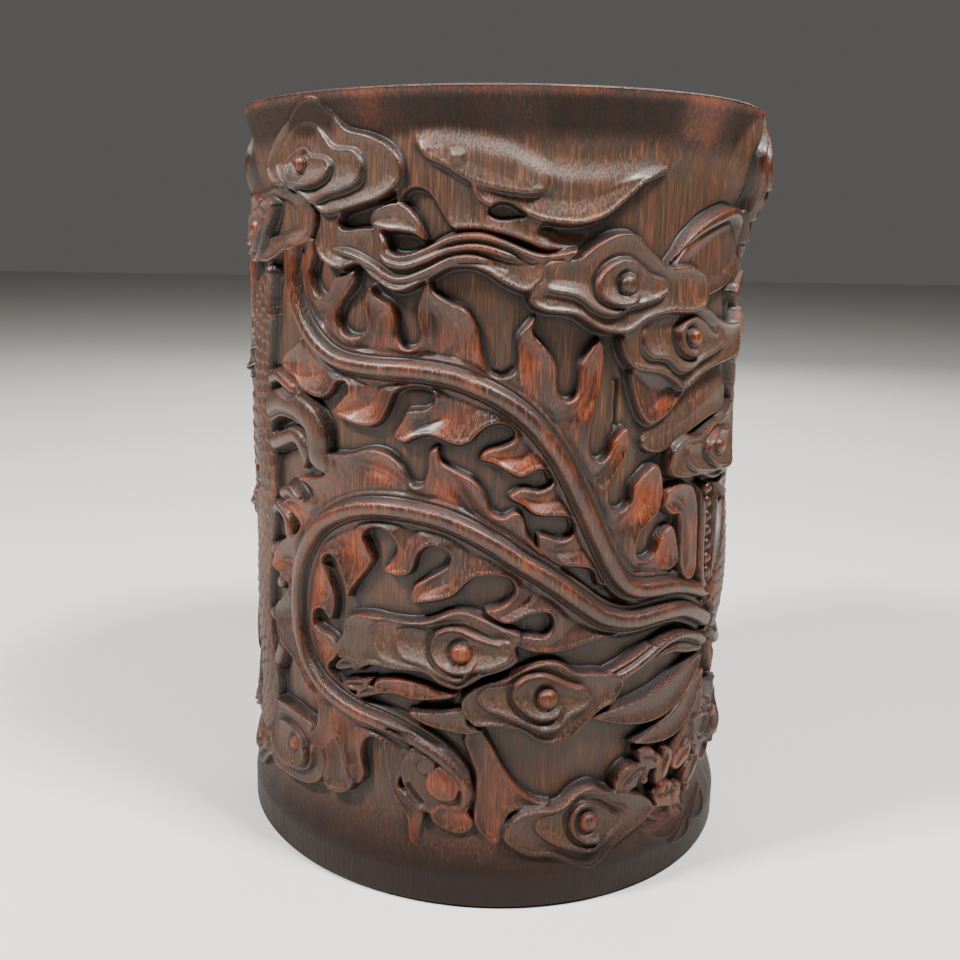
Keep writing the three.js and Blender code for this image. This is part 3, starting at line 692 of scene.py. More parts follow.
def carve_upper_right_clouds(relief):
    """The two clouds that hang one behind the other at the upper right, and the leaf above them."""
    relief.plate([[34, 124.6], [39.6, 130], [44, 133.6], [50, 136.4], [58, 138.6], [68, 139.6], [80, 139],
        [84, 132], [76, 127.6], [69, 127.4], [60, 124.4], [52, 122.8], [46, 121], [38, 121.6]], -2.0,
        dish=0.9, rim=0.1, reach=4)
    relief.rib([[35.6, 127.4], [39.4, 130.6], [43, 133.6], [48, 136.2], [54, 138], [62, 139.2], [68, 137.4],
        [71, 133]], 2.6, -0.9, ends=(0.5, 0.2))
    folds(relief, (
        [[27, 117], [26.2, 114], [29, 110], [36.5, 108.4], [40, 106.8], [43.5, 105.1], [49, 107.4],
        [56, 108.8], [66, 109.4], [76, 110.6], [76, 116.4], [65, 117.2], [57, 118.4], [52, 120.6],
        [44, 122], [34, 121]],
        [[31.8, 118], [31, 114.4], [33, 111.8], [37.4, 111.2], [40.6, 109], [44, 108.7], [48.6, 110.4],
        [55, 111.8], [61, 113.6], [56, 116.6], [50, 118.8], [44, 120.4], [36, 120]]), -1.4, soft=1.8)
    relief.spiral([[57, 115.4], [53, 116.2], [49.8, 118], [46.6, 119], [43.2, 118.2], [41, 116.2],
        [41.2, 113.6], [43.4, 111.8], [46.4, 111.6], [48.6, 113]], 1.2)
    relief.knob(46.2, 115, 1.9, 0.0)
    folds(relief, (
        [[6.6, 124], [7.2, 121.8], [10, 120.5], [15.8, 119.8], [21, 117.2], [26.8, 116.5], [32, 119],
        [37.6, 120], [43.6, 119.8], [48.4, 120.8], [49.9, 123.6], [48.4, 127.4], [43, 129], [36.9, 129],
        [32.8, 131.4], [28.6, 134.7], [24.2, 134.9], [19.6, 132.9], [16, 130.4], [10.2, 129.4],
        [9.1, 126.6]],
        [[9.1, 126], [10.2, 124.3], [15.8, 123.2], [19.6, 120.8], [23.6, 119.9], [28.3, 121.3],
        [34.4, 122.8], [37, 124.6], [34, 126.5], [29.8, 127.6], [26.6, 129.4], [22.6, 129.8], [18.6, 128.8],
        [13, 129.2], [9.8, 128]]), -1.1, soft=1.8)
    relief.spiral([[36.8, 126], [34.6, 126.6], [32.2, 127.2], [30.2, 128.6], [27.6, 130], [24.8, 130],
        [22, 128.6], [20.2, 126.2], [20.6, 123.7], [22.8, 122.2], [25.8, 121.8], [28.4, 122.6],
        [29.6, 124.2]], 1.2)
    relief.knob(27, 125.5, 2.1, 0.1, warm=0.3)


def carve_lower_clouds(relief):
    """The three clouds in the lower half of the front."""
    folds(relief, (
        [[-33.6, 52.2], [-31.9, 54.8], [-31.8, 57.4], [-29.8, 59.2], [-25, 60], [-18, 59.8], [-12, 60.6],
        [-8, 62.4], [-4.6, 63.1], [-0.8, 62], [3.4, 60.1], [7.6, 58.4], [6.4, 55.6], [7.1, 53.4], [5, 51.5],
        [0.6, 50.1], [-2.4, 48.1], [-5.4, 46.8], [-9, 47.6], [-12.6, 49.6], [-18, 49.4], [-24.6, 49.3],
        [-28.4, 47.2], [-31.6, 48.4], [-33.4, 50.4]],
        [[-25.4, 55.6], [-24.8, 58], [-21.6, 59.4], [-14, 59.2], [-8, 60.6], [-3.4, 60.8], [2, 58.4],
        [5.6, 56.8], [6.6, 53.4], [3, 51], [-1.4, 49.6], [-4.8, 47.5], [-8.8, 48.3], [-12.2, 50],
        [-17, 50.1], [-22.6, 51.3]],
        [[-19.4, 55.2], [-18.8, 57.6], [-16, 59], [-11, 58.8], [-6, 59.8], [-1.6, 58.2], [3.6, 56.8],
        [5.8, 54], [2, 51.8], [-2, 51], [-5, 49], [-9, 49.8], [-12.6, 51.3], [-17.2, 52.2]]), -1.35)
    relief.spiral([[5.7, 56.8], [1.5, 57.2], [-2, 58.3], [-5, 59.3], [-8.2, 59.2], [-10.6, 57.6],
        [-11.3, 55.2], [-10.4, 53], [-8.2, 51.4], [-5.4, 50.8], [-2.6, 51.6], [-1.4, 53.6]], 1.2)
    relief.knob(-4.9, 54.2, 2.2, 0.0)
    relief.plate([[-24, 46], [-18, 47.4], [-12, 46.6], [-8.6, 45.4], [-4.4, 46.9], [-5.4, 45.2], [-8, 44.2],
        [-14, 43.3], [-19, 43.8], [-23, 43.4]], -1.9, dish=0.2, rim=0.3, warm=0.35)
    relief.plate([[-16, 40.8], [-9, 41.6], [-4.4, 42.4], [-2.6, 39.4], [0.4, 38.4], [-3, 37.2], [-8, 37.6],
        [-13, 38.6]], -1.7, dish=0.3, rim=0.25, warm=0.12)
    relief.cut([[-14.2, 40.8], [-12.4, 42], [-9, 42.9], [-6, 43]], 0.6, 1.0)
    for root, tip, width, bend in (([-34.6, 46.6], [-27, 48.4], 2.8, 0.1), ([-32.6, 43.6], [-24, 46.6], 2.8,
            -0.1),
            ([-29, 41.6], [-20.6, 44], 2.6, 0.1)):
        outline, _ = leaf_outline(root, tip, width, bend)
        relief.plate(None, -1.8, dish=0.5, reach=1.4, warm=0.25, closed_line=outline)
    folds(relief, (
        [[-4.7, 43.4], [-3.6, 46.4], [-0.4, 48.4], [4, 49.6], [8, 51.5], [12.1, 52.9], [16, 52.4],
        [20, 50.2], [26, 49.4], [31, 47.2], [28.6, 43], [25.1, 41.5], [21.6, 39], [19, 36.8], [15.2, 35.5],
        [11.4, 36.2], [7.6, 38.6], [2, 39.4], [-2, 39.5]],
        [[-1.5, 45.4], [0.4, 48], [5, 48.6], [8.4, 50.6], [12.4, 51], [16.4, 49], [20.4, 47.4], [23, 45.4],
        [21.8, 42.8], [18, 41.2], [15.8, 39.1], [12.6, 38.4], [9, 39.8], [4.4, 41.6], [0.6, 42.9]]), -1.15)
    relief.spiral([[22.1, 47], [19.9, 47.1], [17.3, 48], [15, 49.3], [11.9, 50.3], [8.6, 49.9], [6.4, 48.2],
        [5.9, 46], [7, 43.8], [9.4, 42], [12.2, 41.1], [15, 41.6], [17.2, 43.6]], 1.2)
    relief.knob(13.4, 45, 2.2, 0.1)
    folds(relief, (
        [[4.9, 15], [6, 18.6], [8.4, 20.7], [12, 21.5], [17, 21.7], [20.6, 24.6], [24.8, 25.4], [28, 23.6],
        [32.4, 22.6], [38, 20.4], [41, 17], [38, 14.2], [34, 12.8], [30, 11], [26.8, 8.6], [23.4, 7.6],
        [19.6, 9], [15.4, 10.9], [9.6, 11.7]],
        [[11.2, 17.4], [13, 20], [17, 20.9], [21, 22.6], [25.4, 22.8], [30, 20.6], [33.4, 18.4], [31, 15.2],
        [27.6, 12.8], [24, 11.2], [20, 12], [15, 14]]), -0.7)
    relief.spiral([[32, 17.2], [29.4, 18.5], [26.9, 20.3], [24.2, 21.5], [21.5, 21.6], [19.7, 20],
        [19.1, 17.4], [20, 15], [22.4, 13.5], [25.2, 13.4], [27, 15]], 1.2)
    relief.knob(23.4, 17.4, 2.3, 0.45, warm=0.6)


def carve_right_edge(relief):
    """What lies towards the right: cloud and curls, the beaded plume, leaves and small sprays."""
    relief.plate([[34, 97.4], [40, 99.4], [46, 101], [54, 104], [66, 106], [66, 98.6], [58, 98], [50, 96.4],
        [44, 94.2], [38.4, 92.6], [33.6, 94]], -2.5, dish=0.2, rim=0.1, warm=0.15, soft=3.5)
    folds(relief, (
        [[40.6, 90], [41.6, 93.4], [46, 95.4], [52, 95.2], [58, 96.8], [66, 98.6], [78, 99], [78, 86],
        [66, 85.4], [58, 85], [52, 86.6], [46, 86.9], [42, 87.6]],
        [[45.8, 91.4], [47.4, 94], [54, 93.8], [60, 95.8], [70, 97], [70, 87], [60, 86.6], [53, 87.4],
        [48, 88.6]]), -1.4)
    relief.spiral([[71, 94], [66, 94.6], [61.6, 95.2], [57.4, 94.6], [54.4, 92.6], [54.6, 90.2],
        [57.4, 88.4], [61, 87.6], [64, 88.8]], 1.2)
    relief.knob(61, 91.6, 1.9, 0.0, warm=0.4)
    relief.plate([[40, 82], [41, 85], [45, 86], [50, 84.8], [52.4, 80], [53, 74], [53.4, 66], [50, 64.6],
        [47, 68], [46.4, 74], [46, 79], [43, 79.6]], -1.9, dish=0.4, rim=0.35, warm=0.4)
    relief.fold([[41.8, 83], [46, 81.4], [48.6, 77], [50, 71], [50.4, 66]], 0.5)
    for i in range(7):
        relief.knob(57 + 0.35 * i, 83 - 3.1 * i, 1.7, -1.0 + 0.04 * i, warm=0.35)
    relief.rib([[53.6, 85], [55.2, 78], [55.6, 70], [56.6, 64], [60, 60]], 1.8, -1.1, ends=(0.2, 0.1))
    relief.rib([[62, 84], [62.6, 76], [62.6, 68], [61, 61]], 1.8, -1.1, ends=(0.2, 0.1))
    relief.plate([[29, 50], [33.6, 51.6], [38.4, 53.2], [42, 52.4], [48, 53.8], [54, 52.6], [60, 50.6],
        [60, 47], [52, 48], [46, 49.6], [40, 49.4], [35, 47.6], [29.6, 46], [24, 46.2], [22.4, 48],
        [26, 49]], -1.6, dish=0.2, rim=0.3, warm=0.25)
    relief.rib([[22, 48.2], [28, 47.4], [33.4, 48.8], [38.4, 50.9], [43.4, 52.8], [49, 53], [55, 51.2],
        [62, 48]], 2.0, -0.9, ends=(0.15, 0.05))
    for root, tip, width, bend in (([60, 46], [22.2, 40.2], 7.5, 0.1), ([62, 42], [34.4, 32.2], 7, 0.12),
            ([62, 38], [47, 24.6], 6.5, 0.1), ([66, 34], [58, 20], 6, 0.08)):
        outline, _ = leaf_outline(root, tip, width, bend)
        relief.plate(None, -1.7, dish=0.5, rim=0.35, reach=3, warm=0.22, closed_line=outline)
    for root, tip, width, bend in (([52, 15.6], [38.4, 15.4], 5, 0.1), ([54, 12.4], [38, 11.4], 4.6, 0.12),
            ([56, 10], [46, 6.6], 4, 0.1), ([72, 20], [56, 26.6], 6, 0.1),
            ([70, 27], [56, 32], 5.6, 0.1), ([66, 12], [55, 8.6], 5, 0.1)):
        outline, _ = leaf_outline(root, tip, width, bend)
        relief.plate(None, -1.5, dish=0.6, reach=1.9, rim=0.35, warm=0.28, closed_line=outline)
    bud = [[-4.6, -0.4], [-3.4, 1.8], [-0.6, 2.9], [2, 2], [4.2, 2.6], [5, 0], [3.4, -2.2], [0.6, -2.6],
        [-2.6, -2.4]]
    for degrees, z, size, turn in ((34.6, 25, 1.1, 15), (39.4, 28, 0.8, -35), (44.4, 24.6, 0.9, 60),
                                   (57, 20, 1.0, 30), (46.6, 17.6, 1.1, -20), (50.6, 13, 0.8, -40),
                                   (51.6, 24.6, 0.9, 10)):
        relief.plate(turned_about(bud, degrees, z, size, turn), -1.1, dish=-0.5, reach=2.4, rim=0.1,
                     warm=0.42)
        relief.cut(turned_about([[-3, -0.6], [0, 0.6], [3.4, 0.4]], degrees, z, size, turn), 0.4, 0.5)
    for degrees, z, radius in ((44.2, 19.8, 1.6), (49.4, 17.2, 1.4), (38, 23.6, 1.2), (54.4, 16.6, 1.3)):
        relief.knob(degrees, z, radius, -0.5, warm=0.5)
    relief.cut([[27.4, 98], [27, 103], [27.4, 108.6]], 0.4, 0.9)
    relief.swell([[26.2, 98.4], [26, 103], [26.4, 108]], 0.6, 0.6)


def carve_left_edge(relief):
    """What lies towards the left: the curled ribbon between the plumes, its hooks and the low cloud."""
    for points, width, top in (
        ([[-68, 95], [-60, 97.4], [-54, 99.6], [-48, 99.6], [-42.8, 98], [-39.8, 94.8], [-39.4, 91.2],
          [-36.6, 88.4], [-32.6, 86.4]], 6.4, -0.7),
        ([[-66, 90], [-58, 90.6], [-52, 92.4], [-48, 93.6], [-45, 92.4], [-44, 89.4], [-45.4, 86.6]], 3.8,
         -1.1),
        ([[-62, 103.4], [-56, 105], [-51, 103.6], [-46, 102]], 3.2, -1.5),
        ([[-54, 80], [-50, 81.4], [-47, 79.8], [-46.4, 77.6]], 3.0, -1.2),
        ([[-60, 74.6], [-55.6, 77], [-51.6, 75.4], [-50.6, 72.4], [-53, 70.4]], 3.0, -1.2),
        ([[-60, 66], [-56, 67.4], [-53.4, 64.6], [-54.6, 60.6], [-58, 58.4]], 3.2, -1.3),
        ([[-61, 52], [-56.6, 51], [-55, 46.6], [-57.4, 42], [-61, 40]], 3.4, -1.3)):
        relief.rib(points, width, top, groove=0.5, warm=0.24, ends=(0.05, 0.2))
    relief.cut([[-60, 95.4], [-54, 97.6], [-48.6, 97.6], [-44.4, 96.2], [-42, 93.4]], 0.5, 0.6)
    folds(relief, (
        [[-64, 30], [-55, 33], [-46, 32.8], [-39.4, 30], [-36.6, 25.4], [-37.8, 20.6], [-42, 18], [-50, 17],
        [-60, 18]],
        [[-60, 28.6], [-52, 31], [-45.4, 29.6], [-41, 26], [-41.4, 22.2], [-45.6, 20], [-53, 19.8],
        [-59, 22]]), -1.2)
    relief.spiral([[-58, 26.4], [-54, 28.6], [-49, 29], [-45, 27.7], [-42.8, 25], [-43.4, 22.4],
        [-46.6, 21], [-50, 21.8]], -1.3)
    relief.knob(-48.4, 25, 1.9, -0.5)
    relief.plate([[-38.6, 30], [-34.4, 31.6], [-31, 27.4], [-28.8, 22.4], [-31, 19.6], [-35.6, 18.8],
        [-37.6, 21], [-36.8, 25]], -1.4, tilt=0.4)


# ---------------------------------------------------------------- the sides and the back of the carving

def carve_bird(relief):
    """The bird whose tail sweeps round the front: fanned wings, a scaled body, its head and clouds about
    it."""
    for index, angle in enumerate(np.linspace(168, 96, 7)):
        reach = 24 + 1.5 * index
        tip = [88 + reach * math.cos(math.radians(angle)) / MM_PER_DEGREE,
               78 + reach * math.sin(math.radians(angle))]
        feather(relief, [88, 76], tip, 7.5, -1.9 + 0.09 * index, bend=-0.12)
    for index, angle in enumerate(np.linspace(-70, 24, 8)):
        tip = [92 + 25 * math.cos(math.radians(angle)) / MM_PER_DEGREE,
               68 + 30 * math.sin(math.radians(angle))]
        feather(relief, [90, 70], tip, 7.5, -1.8 + 0.09 * index, bend=0.12)
    for points, reach, pitch in (([[64, 52], [74, 45], [85, 43.4], [95, 46], [104, 42], [112, 36]], 7.5, 9),
            ([[66, 122], [74, 126], [83, 125], [90, 121]], 5, 7)):
        relief.plate(None, -2.0, reach=4, warm=0.34, closed_line=plume_vane(points, reach, pitch))
        relief.rib(points, 3.2, -0.8, thin=0.3)
    relief.scales([[61, 54], [70, 57], [80, 63], [88, 71], [94, 82], [97, 93], [95, 104], [90, 111]], 15,
        -0.6, pitch=3)
    relief.plate([[95, 108], [95, 114], [91, 118.6], [86, 119], [82, 116.4], [77, 113], [82, 111.6],
        [85, 108.4], [90, 105.4]], -0.5, dish=0.1, rim=0.1, warm=0.3)
    relief.knob(87.4, 114.6, 1.1, 0.1, warm=0.2)
    for tip in ([106, 124], [102, 129], [96, 131]):
        outline, _ = leaf_outline([91, 116], tip, 4, -0.15)
        relief.plate(None, -1.0, dish=0.2, rim=0.2, warm=0.5, closed_line=outline)
    for degrees, z, scale, lean, mirror in ((91, 137, 0.9, 5, False), (72, 28, 0.95, 8, True),
                                            (96, 26, 1.05, -4, False),
                                            (106, 108, 0.7, 10, True)):
        cloud(relief, degrees, z, scale, lean, mirror)


def carve_serpents(relief):
    """The scaled bodies that climb between the two birds, each through clouds of its own."""
    for shift in (0, 180):
        body = np.array([[-58, 126], [-64, 119], [-67, 107], [-66, 95], [-64, 82], [-66, 70], [-69, 58],
            [-68, 46], [-64, 36], [-66, 26], [-71, 20]])
        relief.scales(body + [shift, 0], 13, -0.7, pitch=2.6)
        for degrees, z, scale, lean in ((-69, 135, 0.85, 10), (-72, 18, 0.8, 0), (-74, 76, 0.55, 20)):
            cloud(relief, degrees + shift, z, scale, lean, shift > 0)


def carve_rim_cloud(relief):
    """The cloud that stands proud at the side of the rim, cut where the culm swelled at a knot: the wall
    swells there as a flat-topped oval bell."""
    degrees, z, proud = 77, 149, 3.6
    middle = np.array([[degrees * MM_PER_DEGREE, z]])
    cells, x, y = relief.window(middle, 22)
    away = ((x - middle[0, 0]) / 13) ** 2 + ((y - middle[0, 1]) / 9) ** 2
    cloud(relief, degrees, z, 0.95, 75, top=-1.0)
    relief.level[cells] += proud * np.exp(-away ** 2)


def worked_relief(depth):
    """The whole carving: ground with its tool marks first, then the motifs from the back to the front."""
    relief = Relief(depth)
    wave = np.radians(relief.angles)[None, :]
    z = relief.heights[:, None]
    carved = smooth(0, 1.2, -relief.blank)
    marks = np.sin(47 * wave + 2.6 * np.sin(z / 9 + 4 * wave)) * np.sin(z / 7.3 + 3 * np.sin(5 * wave))
    relief.level += carved * 0.09 * marks
    carve_bird(relief)
    carve_left_edge(relief)
    carve_long_plumes(relief)
    carve_plume_eye(relief)
    carve_big_leaf(relief)
    carve_upper_left_cloud(relief)
    carve_right_edge(relief)
    carve_upper_right_clouds(relief)
    carve_lower_clouds(relief)
    carve_rim_cloud(relief)
    carved_twice(relief)
    carve_serpents(relief)
    return relief


def carved_twice(relief):
    """Repeats the half of the carving that starts at the first serpent on the other half of the wall."""
    half = COLUMNS // 2
    first = int(round((-66 + 180) / 360 * COLUMNS))
    columns = (first + np.arange(half)) % COLUMNS
    for field in (relief.level, relief.warm, relief.painted_shade):
        field[:, (columns + half) % COLUMNS] = field[:, columns]


def blurred(field, radius_mm):
    """A field smoothed by a bell curve of the radius given, round the wall and mirrored at its ends."""
    tall = np.vstack([field, field[::-1]])
    across = 360 * MM_PER_DEGREE / COLUMNS
    up = (DRAWN_HEIGHT - 1.25) / (ROWS - 1)
    fx = np.fft.rfftfreq(COLUMNS, across)[None, :]
    fy = np.fft.fftfreq(2 * ROWS, up)[:, None]
    bell = np.exp(-2 * (math.pi * radius_mm) ** 2 * (fx ** 2 + fy ** 2))
    return np.fft.irfft2(np.fft.rfft2(tall) * bell, tall.shape)[:ROWS]


# ---------------------------------------------------------------- meshes

def grid_faces(rows, columns, close_rows=False, close_columns=False):
    """Quads of a grid of vertices stored row by row, whose faces point outwards when rows go up and columns
    round."""
    r = np.arange(rows if close_rows else rows - 1)
    c = np.arange(columns if close_columns else columns - 1)
    r, c = np.meshgrid(r, c, indexing="ij")
    up, on = (r + 1) % rows, (c + 1) % columns
    corners = [r * columns + c, r * columns + on, up * columns + on, up * columns + c]
    return np.stack(corners, -1).reshape(-1, 4)


def mesh_object(name, points, quads, normals=None, attributes=None, triangles=None):
    """An object from arrays of points (metres) and faces, smooth shaded, with its own normals and
    attributes."""
    mesh = bpy.data.meshes.new(name)
    loops = quads.ravel()
    sizes = np.full(len(quads), 4)
    if triangles is not None:
        loops = np.concatenate([loops, triangles.ravel()])
        sizes = np.concatenate([sizes, np.full(len(triangles), 3)])
    mesh.vertices.add(len(points))
    mesh.vertices.foreach_set("co", points.astype(np.float32).ravel())
    mesh.loops.add(len(loops))
    mesh.loops.foreach_set("vertex_index", loops.astype(np.int32))
    mesh.polygons.add(len(sizes))
    mesh.polygons.foreach_set("loop_start", np.concatenate([[0], np.cumsum(sizes)[:-1]]).astype(np.int32))
    mesh.polygons.foreach_set("use_smooth", np.ones(len(sizes), bool))
    mesh.update(calc_edges=True)
    for key, values in (attributes or {}).items():
        layer = mesh.attributes.new(key, "FLOAT", "POINT")
        layer.data.foreach_set("value", values.astype(np.float32).ravel())
    if normals is not None:
        mesh.normals_split_custom_set_from_vertices(normals.reshape(-1, 3))
    made = bpy.data.objects.new(name, mesh)
    bpy.context.scene.collection.objects.link(made)
    return made


def on_wall(angles, radius, z):
    """Points at angles (degrees), radii and heights (mm), in metres: angle 0 faces -Y and grows towards
    +X."""
    turn = np.radians(angles)
    return np.stack([radius * np.sin(turn), -radius * np.cos(turn), z + 0 * radius], -1) * MM


def grid_normals(points):
    """Normals of a grid of points from the differences of its neighbours, round the wall and up it."""
    round_way = np.roll(points, -1, axis=1) - np.roll(points, 1, axis=1)
    normal = np.cross(round_way, np.gradient(points, axis=0))
    return normal / np.linalg.norm(normal, axis=-1, keepdims=True)


def inner_profile(sizes):
    """The rest of the wall's section in mm, from the carved face's top edge over the lip, down the bore,
    round the rebate and back under the foot: [radius, z] points, with round stretches as quarter
    circles."""
    radius, bore, top = sizes.radius / MM, sizes.bore / MM, sizes.height / MM
    rebate = DISC_HIGH[0] / MM + sizes.disc_gap / MM
    shoulder = DISC_HIGH[2] / MM + sizes.disc_gap / MM
    turn = np.linspace(0, np.pi / 2, LIP_EDGE_POINTS + 1)[1:]
    edge = np.column_stack([radius - LIP_EDGE + LIP_EDGE * np.cos(turn),
                            top - LIP_EDGE + LIP_EDGE * np.sin(turn)])
    turn = np.linspace(0, np.pi / 2, LIP_ROLL_POINTS)
    mouth = np.column_stack([bore + LIP_ROLL - LIP_ROLL * np.sin(turn),
                             top - LIP_ROLL + LIP_ROLL * np.cos(turn)])
    drop = np.linspace(top - LIP_ROLL, shoulder, BORE_POINTS + 1)[1:]
    down = np.column_stack([np.full(BORE_POINTS, bore), drop])
    ledge = [[rebate, shoulder], [rebate, FOOT_CHAMFER], [rebate + FOOT_CHAMFER, 0], [radius - FOOT_CHAMFER,
                                                                                      0]]
    return np.vstack([edge, mouth, down, ledge])


# ---------------------------------------------------------------- materials

def node(tree, kind, settings=None, inputs=None, output=0):
    """Adds a shader node, sets its properties, and gives each input a constant or another node's output."""
    made = tree.nodes.new(kind)
    for key, value in (settings or {}).items():
        setattr(made, key, value)
    for key, value in (inputs or {}).items():
        if isinstance(value, bpy.types.NodeSocket):
            tree.links.new(value, made.inputs[key])
        else:
            made.inputs[key].default_value = value
    return made.outputs[output] if made.outputs else None


def shaded_material(name, inputs):
    """A material with one Principled shader, whose inputs a function of the node tree works out."""
    made = bpy.data.materials.new(name)
    made.use_nodes = True
    tree = made.node_tree
    tree.nodes.clear()
    shader = node(tree, "ShaderNodeBsdfPrincipled", inputs=inputs(tree))
    node(tree, "ShaderNodeOutputMaterial", inputs={"Surface": shader})
    return made


def span(source, low, high, start=0.0, end=1.0):
    """The inputs that map a value from low..high to start..end, and hold it at both ends."""
    return {"Value": source, "From Min": low, "From Max": high, "To Min": start, "To Max": end}


def streaks(tree, sizes_mm, detail=2.0, roughness=0.6):
    """Noise in object space, as long in X, Y and Z as the sizes given in real millimetres."""
    where = node(tree, "ShaderNodeTexCoord", output="Object")
    scale = [1 / (size * MM) for size in sizes_mm]
    stretched = node(tree, "ShaderNodeMapping", inputs={"Scale": scale, "Vector": where})
    return node(tree, "ShaderNodeTexNoise",
                inputs={"Vector": stretched, "Scale": 1.0, "Detail": detail, "Roughness": roughness})


def layered(tree, base, layers):
    """Colours laid over a base one after the other, each by a value mapped to how much of it shows."""
    for colour, *mapping in layers:
        share = node(tree, "ShaderNodeMapRange", inputs=span(*mapping))
        base = node(tree, "ShaderNodeMix", {"data_type": "RGBA"}, {0: share, 6: base, 7: linear(colour)}, 2)
    return base


def waxed_bamboo(colours):
    """Moso bamboo, carved with knives, stained and waxed for generations. The fibres run upright as fine
    streaks, old wax and painted shade darken the hollows, creases and edges, painted shade darkens the wall
    towards the bottom, the wax is thin and red where the tool left the walls steep, and hands have polished
    the tops."""
    def inputs(tree):
        warm, wax_and_painted_shade, worn, foot_band_and_low_shade = (node(tree, "ShaderNodeAttribute", {"attribute_name": name}, output="Fac")
                                    for name in ("warmth", "wax_and_painted_shade", "worn", "foot_band_and_low_shade"))
        fine = streaks(tree, (0.34, 0.34, 7.0), 3.0)
        broad = streaks(tree, (2.6, 2.6, 30.0))
        cloudy = streaks(tree, (9.0, 9.0, 14.0), 3.0)
        streak = node(tree, "ShaderNodeMapRange", inputs=span(fine, 0.32, 0.68))
        drift = node(tree, "ShaderNodeMapRange", inputs=span(cloudy, 0.3, 0.7, -0.4, 0.15))
        drift = node(tree, "ShaderNodeMath", {"operation": "MULTIPLY_ADD"}, {0: streak, 1: 0.4, 2: drift})
        heat = node(tree, "ShaderNodeMath", {"operation": "ADD"}, {0: warm, 1: drift})
        base = layered(tree, linear(colours.ground), (
            (colours.high, warm, 0.12, 0.36),
            (colours.ember, broad, 0.4, 0.7, 0.0, 0.15),
            (colours.ember, heat, 0.35, 1.1),
            (colours.dark, streak, 0.0, 1.0, 0.6, 0.0),
            (colours.fibre, fine, 0.55, 0.75, 0.0, 0.4),
            # Dark foot band and rim lacquer, with painted shade that darkens the wall towards the bottom.
            (colours.foot, foot_band_and_low_shade, 0.0, 1.0, 0.0, 0.93),
            # Old wax and painted shade in the hollows, creases and edges.
            (colours.dark, wax_and_painted_shade, 0.0, 1.0, 0.0, 0.94)))
        polish = node(tree, "ShaderNodeMapRange", inputs=span(worn, 0.0, 1.0, 0.44, 0.24))
        rough = node(tree, "ShaderNodeMath", {"operation": "MULTIPLY_ADD"}, {0: streak, 1: 0.16, 2: polish})
        bump = {"Strength": 1.0, "Distance": 0.26 * MM, "Height": fine}
        return {
            "Base Color": base,
            "Roughness": rough,
            "IOR": 1.48,
            "Specular IOR Level": node(tree, "ShaderNodeMapRange", inputs=span(foot_band_and_low_shade, 0.0, 1.0, 0.5, 0.18)),
            "Coat Weight": node(tree, "ShaderNodeMapRange", inputs=span(foot_band_and_low_shade, 0.0, 0.6, 0.2, 0.0)),
            "Coat Roughness": 0.28,
            "Normal": node(tree, "ShaderNodeBump", inputs=bump),
        }
    return shaded_material("waxed_carved_bamboo", inputs)


def oiled_floor_wood(colours):
    """Hongmu, turned on a lathe and oiled: close grain that runs one way, dark and dull."""
    def inputs(tree):
        grain = streaks(tree, (0.7, 12, 0.7), 3.0, 0.5)
        bump = {"Strength": 0.3, "Distance": 0.08 * MM, "Height": grain}
        return {
            "Base Color": layered(tree, linear(colours.dark), (("4a2718", grain, 0.35, 0.65),)),
            "Roughness": node(tree, "ShaderNodeMapRange", inputs=span(grain, 0.3, 0.7, 0.5, 0.64)),
            "Normal": node(tree, "ShaderNodeBump", inputs=bump),
        }
    return shaded_material("oiled_floor_wood", inputs)


def split_bamboo():
    """Split bamboo, whittled round and pared flush: pale end grain with dark pores, dry and matt."""
    def inputs(tree):
        where = node(tree, "ShaderNodeTexCoord", output="Object")
        pores = node(tree, "ShaderNodeTexVoronoi", inputs={"Scale": 1 / (0.45 * MM), "Vector": where})
        return {"Base Color": layered(tree, linear("3a2013"), (("94683f", pores, 0.1, 0.5),)),
                "Roughness": 0.62}
    return shaded_material("split_bamboo_peg", inputs)


def pale_paper():
    """Matt backdrop paper: one pale warm grey."""
    return shaded_material("pale_paper_floor", lambda tree: {"Base Color": linear("cfccc6"),
                                                             "Roughness": 0.8})


# ---------------------------------------------------------------- operators

